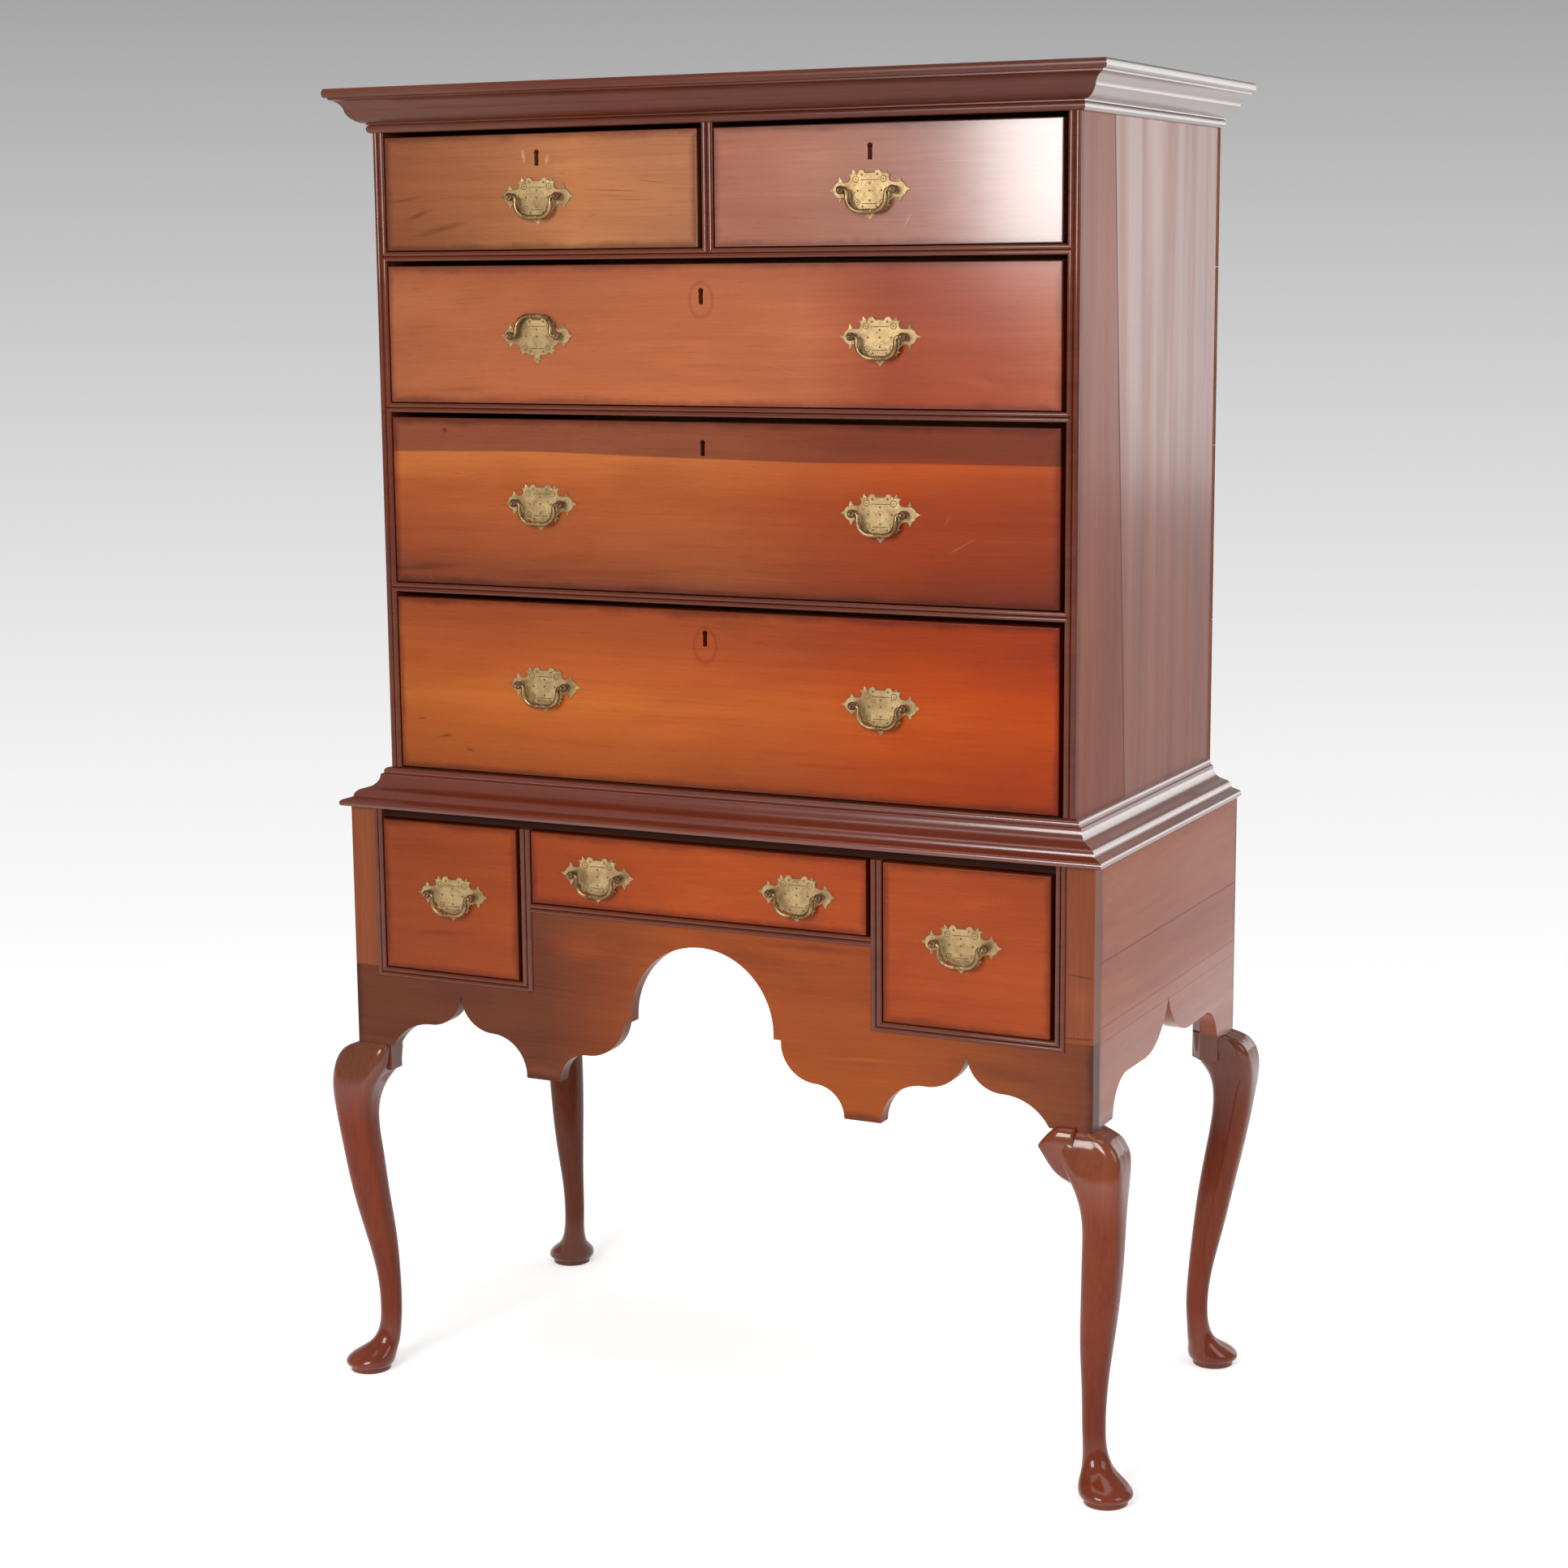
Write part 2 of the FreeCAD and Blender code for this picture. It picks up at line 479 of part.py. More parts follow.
def drawer_supports():
    """Runners and guides under the drawers, and the partitions between the lower ones."""
    upper_run = ("upper_front + rail_depth", "upper_back - 1")
    lower_run = ("skirt_back", "lower_back - lower_board")
    divider_run = ("lower_front + divider_depth", "lower_back - lower_board")
    sills = ("side_rail_top - rail", "side_rail_top")
    items = []
    for level in ("rail_1", "rail_2", "rail_3"):
        for side, span in (("left", ("-opening_half", "-opening_half + runner")),
                           ("right", ("opening_half - runner", "opening_half"))):
            items.append(board(f"runner_{level}_{side}", span, upper_run,
                               (level, f"{level} + rail")))
    items.append(board("runner_middle", ("-runner", "runner"), upper_run,
                       ("rail_1", "rail_1 + rail")))
    items.append(board("guide_middle", ("-middle_stile / 2 + 1", "middle_stile / 2 - 1"),
                       upper_run, ("rail_1 + rail", "rail_1 + rail + guide_rise")))
    items.append(board("runner_lower_left", ("-lower_inner", "-opening_lower + runner"),
                       lower_run, sills))
    items.append(board("runner_lower_right", ("opening_lower - runner", "lower_inner"),
                       lower_run, sills))
    for side, span in (("left", ("-lower_inner", "-opening_lower - 1")),
                       ("right", ("opening_lower + 1", "lower_inner"))):
        items.append(board(f"guide_lower_{side}", span, lower_run,
                           ("side_rail_top", "side_rail_top + guide_rise")))
    for word, inward in (("left", 1), ("right", -1)):
        middle = f"divider_{word}"
        items.append(board(f"partition_{word}", (f"{middle} - partition / 2",
                                                 f"{middle} + partition / 2"), divider_run,
                           ("side_rail_top - rail", "deck_bottom")))
        for label, sign, top in (("outer", -inward, "side_rail_top"),
                                 ("inner", inward, "centre_rail_top")):
            near = f"{middle} + {sign} * partition / 2"
            far = f"{middle} + {sign} * ( partition / 2 + runner )"
            span = (near, far) if sign > 0 else (far, near)
            items.append(board(f"runner_{label}_{word}", span, divider_run,
                               (f"{top} - rail", top)))
    group("drawer_supports", items)


# ---------------------------------------------------------------- legs
def loop(half, power, place):
    """One closed, smooth, more or less square loop with its two half widths."""
    points = []
    for i in range(SECTION_POINTS):
        turn = 2 * math.pi * (i + 0.5) / SECTION_POINTS
        c, s = math.cos(turn), math.sin(turn)
        stretch = (abs(c) ** power + abs(s) ** power) ** (-1 / power)
        points.append(place(half[0] * stretch * c, half[1] * stretch * s))
    curve = Part.BSplineCurve()
    curve.interpolate(Points=points, PeriodicFlag=True)
    return Part.Wire(curve.toShape())


def leg_scale():
    """How much larger than its list of sections a leg is."""
    return size("foot_reach") / max(section["front"][0] for section in LEG_SECTIONS)


def knee_return():
    """The right front knee's return: a loft along under the skirt, cut away round the skirt."""
    wires = []
    scale = leg_scale()
    for inward, share, half_height, reach, depth in KNEE_RETURN:
        middle = Vector(size("lower_half") - scale * inward,
                        size("lower_front") + scale * (depth - reach) / 2,
                        share * size("knee_top"))
        wires.append(loop((scale * (depth + reach) / 2, scale * half_height), RETURN_POWER,
                          lambda a, b, middle=middle: middle + Vector(0, a, b)))
    wide = scale * KNEE_RETURN[-1][0]
    skirt = Part.makeBox(wide, size("lower_board"), wide,
                         Vector(size("lower_half") - wide, size("lower_front"), size("knee_top")))
    return Part.makeLoft(wires, True, False).cut(skirt).Solids[0]


def corner_block(side, end):
    """Square block in the case's corner, above the edge of the skirt."""
    width = size("leg_block")
    bottom = size("block_bottom")
    top = size("side_rail_top") - size("rail") - size("floor_clear")
    near_x = side * size("lower_inner")
    near_y = end * (size("lower_back") - size("lower_board"))
    corner = Vector(min(near_x, near_x - side * width), min(near_y, near_y - end * width), bottom)
    return Part.makeBox(width, width, top - bottom, corner)


def knee_stock(side, end, inset, high):
    """Uncarved stock on a knee's inner sides, with its inner edge planed off."""
    wide = size("leg_stock")
    planed = wide - size("stock_chamfer")
    low = size("stock_bottom")
    corners = [(inset, inset), (wide, inset), (wide, planed), (planed, wide), (inset, wide)]
    points = [Vector(side * (size("lower_half") - a), end * (size("lower_back") - b), low)
              for a, b in corners]
    face = Part.Face(Part.makePolygon(points + points[:1]))
    return face.extrude(Vector(0, 0, high - low))


def leg(side, end):
    """A cabriole leg with its block inside the case's corner and its disc on the floor."""
    key = "front" if end < 0 else "back"
    wires = []
    for section in LEG_SECTIONS:
        out_x, in_x, out_y, in_y = (leg_scale() * reach for reach in section[key])
        middle = Vector(side * (size("lower_half") + (out_x - in_x) / 2),
                        end * (size("lower_back") + (out_y - in_y) / 2),
                        section["height"] * size("knee_top"))
        wires.append(loop(((out_x + in_x) / 2, (out_y + in_y) / 2), section["power"],
                          lambda a, b, middle=middle: middle + Vector(a, b, 0)))
    limb = Part.makeLoft(wires, True, False)
    disc = Part.makeCylinder(size("foot_disc"), size("foot_disc_rise"),
                             Vector(middle.x, middle.y, 0))
    under_boards = knee_stock(side, end, size("stock_inset"), size("knee_top") - size("leg_seam"))
    behind_boards = knee_stock(side, end, size("lower_board"),
                               size("block_bottom") + size("leg_seam"))
    for piece in (disc, under_boards, behind_boards, corner_block(side, end)):
        limb = limb.fuse(piece)
    if side > 0 and end < 0:
        limb = limb.fuse(knee_return())
    return limb.Solids[0]


# ---------------------------------------------------------------- mouldings
def ring_of_mouldings(profile, rise, reach, bottom, half, front, back):
    """A moulding round the front and both sides, mitred at its two corners."""
    drawn_reach = max(point[0] if not isinstance(point[0], tuple) else point[0][0]
                      for point in profile)
    drawn_rise = max(point[1] for point in profile if not isinstance(point[0], tuple))
    scale = (reach / drawn_reach, rise / drawn_rise)
    run = outline(profile, lambda a, b: Vector(-half - reach, front - a, bottom + b), scale)
    bar = Part.Face(run).extrude(Vector(2 * (half + reach), 0, 0))
    mitre = [(-half, front), (half, front), (half + reach, front - reach),
             (-half - reach, front - reach)]
    pieces = [bar.common(prism(mitre, "z", bottom, bottom + rise))]
    for side in (-1, 1):
        run = outline(profile, lambda a, b: Vector(side * (half + a), front - reach, bottom + b),
                      scale)
        bar = Part.Face(run).extrude(Vector(0, back - front + reach, 0))
        mitre = [(side * half, front), (side * (half + reach), front - reach),
                 (side * (half + reach), back), (side * half, back)]
        pieces.append(bar.common(prism(mitre, "z", bottom, bottom + rise)))
    return Part.makeCompound([piece.Solids[0] for piece in pieces])


def double_arch(along, low, high, front, shape):
    """A double-arch moulding, low to high across, sawn to the polygon shape in the front plane."""
    proud = size("bead_proud")
    base = size("bead_base")
    middle = (low + high) / 2
    quarter_width = (high - low) / 4
    steps = [(low, 0), (low, base), ((low + quarter_width, proud), (middle, base)),
             ((middle + quarter_width, proud), (high, base)), (high, 0)]
    if along == "z":
        start = min(point[1] for point in shape)
        length = Vector(0, 0, max(point[1] for point in shape) - start)
        run = outline(steps, lambda a, b: Vector(a, front - b, start))
    else:
        start = min(point[0] for point in shape)
        length = Vector(max(point[0] for point in shape) - start, 0, 0)
        run = outline(steps, lambda a, b: Vector(start, front - b, a))
    bar = Part.Face(run).extrude(length)
    return bar.common(prism(shape, "y", front - proud - 1, front)).Solids[0]


def notched(edge, inward, low, high, notches, width):
    """Points up one edge of an upright moulding, with a V where each rail's point enters."""
    points = [(edge, low)]
    for bottom, depth in notches:
        points += [(edge, bottom), (edge - inward * depth, bottom + width / 2),
                   (edge, bottom + width)]
    return points + [(edge, high)]


def upper_beads():
    """Double-arch mouldings on the upper case's edges, rails and middle stile."""
    half = size("upper_half")
    opening = size("opening_half")
    front = size("upper_front")
    rail = size("rail")
    floor = size("upper_floor")
    top = size("cornice_bottom")
    rails = [size("rail_3"), size("rail_2"), size("rail_1")]
    point = rail / 2
    stile = size("middle_stile") / 2
    solids = []
    for side in (-1, 1):
        edge = notched(side * opening, -side, floor, top, [(z, point) for z in rails], rail)
        low, high = sorted((side * opening, side * half))
        solids.append(double_arch("z", low, high, front,
                                  edge + [(side * half, top), (side * half, floor)]))
    for z in rails:
        shape = [(-opening, z), (opening, z), (opening + point, z + point), (opening, z + rail)]
        if z == rails[-1]:
            shape += [(stile, z + rail), (0, z + point), (-stile, z + rail)]
        shape += [(-opening, z + rail), (-opening - point, z + point)]
        solids.append(double_arch("x", z, z + rail, front, shape))
    foot = rails[-1] + rail
    shape = [(0, foot - point), (stile, foot), (stile, top), (-stile, top), (-stile, foot)]
    solids.append(double_arch("z", -stile, stile, front, shape))
    return solids


def lower_beads():
    """Double-arch mouldings round the lower drawers' openings."""
    front = size("lower_front")
    rail = size("rail")
    sill = size("side_rail_top")
    centre = size("centre_rail_top")
    top = size("lower_top")
    opening = size("opening_lower")
    half = size("divider") / 2
    width = size("corner_bead")
    solids = []
    for side, middle in ((-1, size("divider_left")), (1, size("divider_right"))):
        outer = side * (opening + width)
        inner = side * opening
        far = middle + side * half
        near = middle - side * half
        stile = [(outer, sill - rail), (inner, sill), (inner, top), (outer, top)]
        low, high = sorted((inner, outer))
        solids.append(double_arch("z", low, high, front, stile))
        rung = [(outer, sill - rail), (inner, sill), (far, sill), (near, sill - rail)]
        solids.append(double_arch("x", sill - rail, sill, front, rung))
        notch = notched(near, -side, sill - rail, size("deck_bottom"),
                        [(centre - rail, -half)], rail)
        upright = notch + [(far, size("deck_bottom")), (far, sill)]
        low, high = sorted((near, far))
        solids.append(double_arch("z", low, high, front, upright))
    left = size("divider_left") + half
    right = size("divider_right") - half
    shape = [(left, centre - rail), (right, centre - rail), (right + half, centre - rail / 2),
             (right, centre), (left, centre), (left - half, centre - rail / 2)]
    solids.append(double_arch("x", centre - rail, centre, front, shape))
    return solids


# ---------------------------------------------------------------- upper case
def upper_case():
    """Sides, top and bottom, back boards, rails and cornice of the upper case."""
    depth = ("upper_front", "upper_back")
    tall = ("lower_top", "side_top")
    keep(board("upper_side_left", ("-upper_half", "-opening_half"), depth, tall),
         "upper_side_left")
    keep(board("upper_side_right", ("opening_half", "upper_half"), depth, tall),
         "upper_side_right")
    group("upper_top_and_bottom", [
        board("bottom_plank", ("-opening_half", "opening_half"), depth,
              ("upper_floor - bottom_board", "upper_floor")),
        board("top_plank", ("-upper_half", "upper_half"), depth, ("side_top", "case_top")),
    ])
    boards = []
    for i in range(UPPER_BACK_BOARDS):
        step = f"( case_top - lower_top ) / {UPPER_BACK_BOARDS}"
        boards.append(board(f"back_plank_{i + 1}", ("-upper_half", "upper_half"),
                            ("upper_back", "upper_back + back_board"),
                            (f"lower_top + {i} * {step}",
                             f"lower_top + {i + 1} * {step} - board_joint")))
    group("upper_back", boards)
    rail_run = ("upper_front", "upper_front + rail_depth")
    rails = [board(f"{level}_front", ("-opening_half", "opening_half"), rail_run,
                   (level, f"{level} + rail")) for level in ("rail_1", "rail_2", "rail_3")]
    rails.append(board("rail_top", ("-opening_half", "opening_half"),
                       ("upper_front", "upper_front + top_rail"), ("cornice_bottom", "side_top")))
    rails.append(board("middle_stile_post", ("-middle_stile / 2", "middle_stile / 2"), rail_run,
                       ("rail_1 + rail", "cornice_bottom")))
    group("upper_rails", rails)


# ---------------------------------------------------------------- drawers
def keyhole(name, x, y, z):
    """Round-headed slot through a drawer front and as deep as the board."""
    head = doc.addObject("Part::Cylinder", f"{name}_keyhead")
    bind(head, {"Radius": "key_head", "Height": "front_board + 2", "Placement.Base.x": x,
                "Placement.Base.y": f"{y} - 1",
                "Placement.Base.z": f"{z} + key_length / 2 - key_head"})
    head.Placement.Rotation = FreeCAD.Rotation(Vector(1, 0, 0), -90)
    slot = board(f"{name}_keyslot", (f"{x} - key_slot / 2", f"{x} + key_slot / 2"),
                 (f"{y} - 1", f"{y} + front_board + 1"),
                 (f"{z} - key_length / 2", f"{z} + key_length / 2 - key_head"))
    hole = doc.addObject("Part::MultiFuse", f"{name}_keyhole")
    hole.Shapes = [head, slot]
    return hole


def drawer_front(name, x, y, z, pulls, pull_z, key):
    """Front board with rounded edges, shank holes for its pulls and a keyhole if it locks."""
    blank = board(f"{name}_blank", x, (y, f"{y} + front_board"), z)
    doc.recompute()
    face = blank.Shape.BoundBox.YMin
    rounded = doc.addObject("Part::Fillet", f"{name}_rounded")
    rounded.Base = blank
    radius = size("front_round")
    rounded.Edges = [(i, radius, radius) for i, edge in enumerate(blank.Shape.Edges, start=1)
                     if all(abs(vertex.Y - face) < 1e-6 for vertex in edge.Vertexes)]
    tools = []
    for i, pull in enumerate(pulls):
        for label, sign in (("a", -1), ("b", 1)):
            hole = doc.addObject("Part::Cylinder", f"{name}_hole_{i}{label}")
            hole.Placement.Rotation = FreeCAD.Rotation(Vector(1, 0, 0), -90)
            bind(hole, {"Radius": "post_shank + shank_clear", "Height": "front_board + 2",
                        "Placement.Base.x": f"{pull} + {sign} * post_spacing / 2",
                        "Placement.Base.y": f"{y} - 1", "Placement.Base.z": pull_z})
            tools.append(hole)
    if key is not None:
        tools.append(keyhole(name, key[0], y, key[1]))
    holes = doc.addObject("Part::Compound", f"{name}_holes")
    holes.Links = tools
    front = doc.addObject("Part::Cut", f"drawer_{name}_front")
    front.Base = rounded
    front.Tool = holes
    return keep(front, f"drawer_{name}_front")


def drawer_box(name, x, y_front, y_back, z):
    """Sides, back and bottom of a drawer, as separate boards."""
    low, high = x
    top = f"{z[1]} - box_drop"
    inside = (f"{low} + box_board", f"{high} - box_board")
    group(f"drawer_{name}_box", [
        board(f"{name}_side_left", (low, f"{low} + box_board"), (y_front, y_back), (z[0], top)),
        board(f"{name}_side_right", (f"{high} - box_board", high), (y_front, y_back), (z[0], top)),
        board(f"{name}_tail", inside, (f"{y_back} - box_board", y_back), (z[0], top)),
        board(f"{name}_bottom", inside, (y_front, f"{y_back} - box_board"),
              (f"{z[0]} + box_raise", f"{z[0]} + box_raise + box_bottom")),
    ])


def lock(name, x, y, z_top):
    """Lock case let in behind a drawer front, with its bolt just below the front's top."""
    group(f"lock_{name}", [
        board(f"{name}_lock_case", (f"{x} - lock_width / 2", f"{x} + lock_width / 2"),
              (y, f"{y} + lock_depth"), (f"{z_top} - 4 - lock_height", f"{z_top} - 4")),
        board(f"{name}_lock_bolt", (f"{x} - lock_width / 6", f"{x} + lock_width / 6"),
              (f"{y} + lock_depth / 4", f"{y} + lock_depth * 3 / 4"),
              (f"{z_top} - 4", f"{z_top} - 1")),
    ])


def plate_shape():
    """A batwing backplate that lies on the plane y = 0 and stands in front of it."""
    right = list(PLATE_OUTLINE)
    mirrored = [((-a[0], a[1]), (-b[0], b[1])) if isinstance(a, tuple) else (-a, b)
                for a, b in right]
    drawn_reach = max(step[0] for step in right if not isinstance(step[0], tuple))
    scale = size("plate_reach") / drawn_reach
    wire = outline(right + reversed_steps(mirrored)[1:], lambda a, b: Vector(a, 0, b),
                   (scale, scale))
    return Part.Face(wire).extrude(Vector(0, -size("plate"), 0))


def post_shape():
    """A cast post in the middle of the plane y = 0: shank, collar, neck, ball and tip."""
    stand = size("plate") + size("pin_height")
    ball = size("post_ball")
    shank = size("post_shank")
    board_depth = size("front_board")
    neck = shank + 0.6
    reach = math.sqrt(ball ** 2 - neck ** 2)
    tip = 0.45 * ball
    cap = stand + reach + 1.2
    steps = [(0, -board_depth - 6), (shank, -board_depth - 6), (shank, size("plate")),
             (1.7 * shank, size("plate")), (1.9 * shank, size("plate") + 1.2),
             (neck, size("plate") + 2.2), (neck, stand - reach),
             ((ball, stand), (neck, stand + reach)), (tip, cap),
             ((tip * math.sqrt(0.5), cap + tip * math.sqrt(0.5)), (0, cap + tip))]
    wire = outline(steps, lambda a, b: Vector(a, -b, 0))
    post = Part.Face(wire).revolve(Vector(0, 0, 0), Vector(0, 1, 0), 360)
    hole = Part.makeCylinder(size("bail_pin") + size("pin_clear"), 4 * ball,
                             Vector(-2 * ball, -stand, 0), Vector(1, 0, 0))
    return post.cut(hole).Solids[0]


def nut_shape():
    """Square nut on a post's shank, behind the drawer front."""
    half = 2.2 * size("post_shank")
    thick = 3
    block = Part.makeBox(2 * half, thick, 2 * half, Vector(-half, size("front_board"), -half))
    bore = Part.makeCylinder(size("post_shank"), thick + 2,
                             Vector(0, size("front_board") - 1, 0), Vector(0, 1, 0))
    return block.cut(bore).Solids[0]


def pull_shapes(x, y, z):
    """Backplate, two posts and two nuts of one pull."""
    shapes = []
    plate = plate_shape()
    for sign in (-1, 1):
        where = Vector(x + sign * size("post_spacing") / 2, y, z)
        hole = Part.makeCylinder(size("post_shank"), 10, Vector(where.x - x, -5, 0),
                                 Vector(0, 1, 0))
        plate = plate.cut(hole)
        for shape in (post_shape(), nut_shape()):
            shape.translate(where)
            shapes.append(shape)
    plate.translate(Vector(x, y, z))
    return shapes + [plate.Solids[0]]


def bail_shape():
    """Hanging bail with its axis along X through the origin."""
    half = size("bail_half")
    drop = size("bail_drop")
    bend = size("bail_bend")
    rod = size("bail_rod")
    share = bend * math.sqrt(0.5)
    low = Vector(0, 0, -drop)
    path = []
    for side in (-1, 1):
        top = Vector(side * half, 0, 0)
        start = Vector(side * half, 0, bend - drop)
        middle = Vector(side * (half - bend + share), 0, bend - drop - share)
        end = Vector(side * (half - bend), 0, -drop)
        path.append([Part.makeLine(top, start), Part.Arc(start, middle, end).toShape(),
                     Part.makeLine(end, low)])
    spine = Part.Wire(path[0] + path[1][::-1])
    ring = Part.Wire(Part.makeCircle(rod, Vector(-half, 0, 0), Vector(0, 0, 1)))
    bail = spine.makePipeShell([ring], True, False)
    extras = []
    for side in (-1, 1):
        extras.append(Part.makeSphere(rod, Vector(side * half, 0, 0)))
        reach = size("post_spacing") / 2 + size("bail_pin") - half
        extras.append(Part.makeCylinder(size("bail_pin"), reach, Vector(side * half, 0, 0),
                                        Vector(side, 0, 0)))
        extras.append(Part.makeTorus(size("bail_ring") - 1.2, 1.2,
                                     low + Vector(side * 1.6, 0, 0), Vector(1, 0, 0)))
    return bail.fuse(extras)


def pulls(name, xs, y, z):
    """Pulls of one drawer: fixed brass in one node and each bail in a node of its own."""
    fixed = []
    for i, x in enumerate(xs):
        fixed += pull_shapes(x, y, z)
        end = "" if len(xs) == 1 else ("_left", "_right")[i]
        label = f"bail_{name}{end}"
        turn = -180 - size("bail_lean") if label == RAISED_BAIL else 0
        shaped(label, bail_shape(), Vector(x, y - size("plate") - size("pin_height"), z), turn)
    shaped(f"pulls_{name}", Part.makeCompound(fixed))


def drawer(row, left, right, bottom, top, face, back):
    """One whole drawer between formulas for its front's edges."""
    name = row["name"]
    span = (f"{left} + gap_left", f"{right} - gap_right")
    y = f"{face} - front_proud"
    pull_z = f"( {bottom} ) / 2 + ( {top} ) / 2 + {row['rise']}"
    key = None
    if "key" in row:
        key = (row["key"], f"{top} - {row['key_drop']}")
        lock(name, row["key"], f"{y} + front_board", f"{top} - box_drop")
    front = drawer_front(name, span, y, (bottom, top), row["pulls"], pull_z, key)
    drawer_box(name, span, f"{y} + front_board", back, (bottom, top))
    doc.recompute()
    box = front.Shape.BoundBox
    pulls(name, row["pulls"], box.YMin, (box.ZMin + box.ZMax) / 2 + row["rise"])


def all_drawers():
    """The five upper and three lower drawers."""
    for row in UPPER_DRAWERS:
        sill = f"{row['bottom']} + rail"
        drawer(row, row["left"], row["right"], f"{sill} + gap_below",
               f"{sill} + {row['opening']} - gap_above", "upper_front", "upper_back - stop_gap")
    for row in LOWER_DRAWERS:
        drawer(row, row["left"], row["right"], f"{row['sill']} + gap_below",
               "deck_bottom - gap_deck", "lower_front", "lower_back - lower_board - stop_gap")


# ---------------------------------------------------------------- assembly
lower_case()
drawer_supports()
upper_case()
doc.recompute()

for leg_name, leg_side, leg_end in LEG_NAMES:
    shaped(leg_name, leg(leg_side, leg_end))

shaped("waist_moulding", ring_of_mouldings(
    WAIST_PROFILE, size("waist_rise"), size("setback") + size("waist_reach"), size("lower_top"),
    size("upper_half"), size("upper_front"), size("lower_back") - size("waist_short")))
shaped("cornice", ring_of_mouldings(
    CORNICE_PROFILE, size("cornice_rise"), size("cornice_reach"), size("cornice_bottom"),
    size("upper_half"), size("upper_front"), size("upper_back") + size("back_board")))
shaped("bead_mouldings", Part.makeCompound(upper_beads() + lower_beads()))

all_drawers()
doc.recompute()

# ---------------------------------------------------------------- checks and files
for thing in doc.Objects:
    if "Invalid" in thing.State or "Error" in thing.State:
        raise RuntimeError(f"{thing.Name} failed: {thing.State}")
for node in nodes:
    if node.Shape.isNull() or not node.Shape.isValid():
        raise RuntimeError(f"{node.Label} has no valid shape")

os.makedirs("parts", exist_ok=True)
for node in nodes:
    node.Shape.exportStep(f"parts/{node.Label}.step")
print(len(nodes), "nodes written")
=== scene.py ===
"""Looks of the highboy, in metres and in the frame of its CAD part."""

import math
from collections import Counter

import bmesh
import bpy
from mathutils import Matrix, Vector
from mathutils.geometry import delaunay_2d_cdt


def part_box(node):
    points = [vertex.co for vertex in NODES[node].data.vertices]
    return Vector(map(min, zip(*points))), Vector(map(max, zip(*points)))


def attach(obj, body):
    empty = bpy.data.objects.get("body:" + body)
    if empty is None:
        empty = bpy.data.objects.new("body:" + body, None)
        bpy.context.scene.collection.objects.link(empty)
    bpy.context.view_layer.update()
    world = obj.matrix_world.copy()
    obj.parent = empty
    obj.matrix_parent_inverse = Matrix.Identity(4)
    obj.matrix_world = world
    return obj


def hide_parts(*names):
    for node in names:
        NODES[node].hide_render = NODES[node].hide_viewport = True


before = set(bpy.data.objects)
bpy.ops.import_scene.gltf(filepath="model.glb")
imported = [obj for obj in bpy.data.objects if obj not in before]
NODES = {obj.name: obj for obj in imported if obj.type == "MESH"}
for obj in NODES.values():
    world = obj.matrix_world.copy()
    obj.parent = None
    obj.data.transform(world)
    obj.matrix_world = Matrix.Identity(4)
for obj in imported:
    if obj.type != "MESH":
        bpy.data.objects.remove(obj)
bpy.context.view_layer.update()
scene = bpy.context.scene

MM = 0.001

# Pulls of each drawer: across and height of a pull's middle, and the end of its bail's name.
PULLS = {
    "short_left": ((-0.227, 1.4975, ""),),
    "short_right": ((0.206, 1.4975, ""),),
    "long_top": ((-0.231, 1.3345, "_left"), (0.218, 1.3345, "_right")),
    "long_middle": ((-0.231, 1.1345, "_left"), (0.218, 1.1345, "_right")),
    "long_bottom": ((-0.231, 0.9125, "_left"), (0.218, 0.9125, "_right")),
    "lower_left": ((-0.347, 0.6495, ""),),
    "lower_centre": ((-0.140, 0.6905, "_left"), (0.127, 0.6905, "_right")),
    "lower_right": ((0.335, 0.6495, ""),),
}
# Drawers with a lock.
LOCKED = ("short_left", "short_right", "long_top", "long_middle", "long_bottom")


# ---------------------------------------------------------------- node trees
def tone(red, green, blue):
    """Linear colour of an 8-bit display colour."""
    def linear(channel):
        share = channel / 255
        return share / 12.92 if share < 0.04045 else ((share + 0.055) / 1.055) ** 2.4
    return linear(red), linear(green), linear(blue)


def tinted(colour, factors):
    """The colour with each channel multiplied by its factor."""
    return tuple(a * b for a, b in zip(colour, factors))


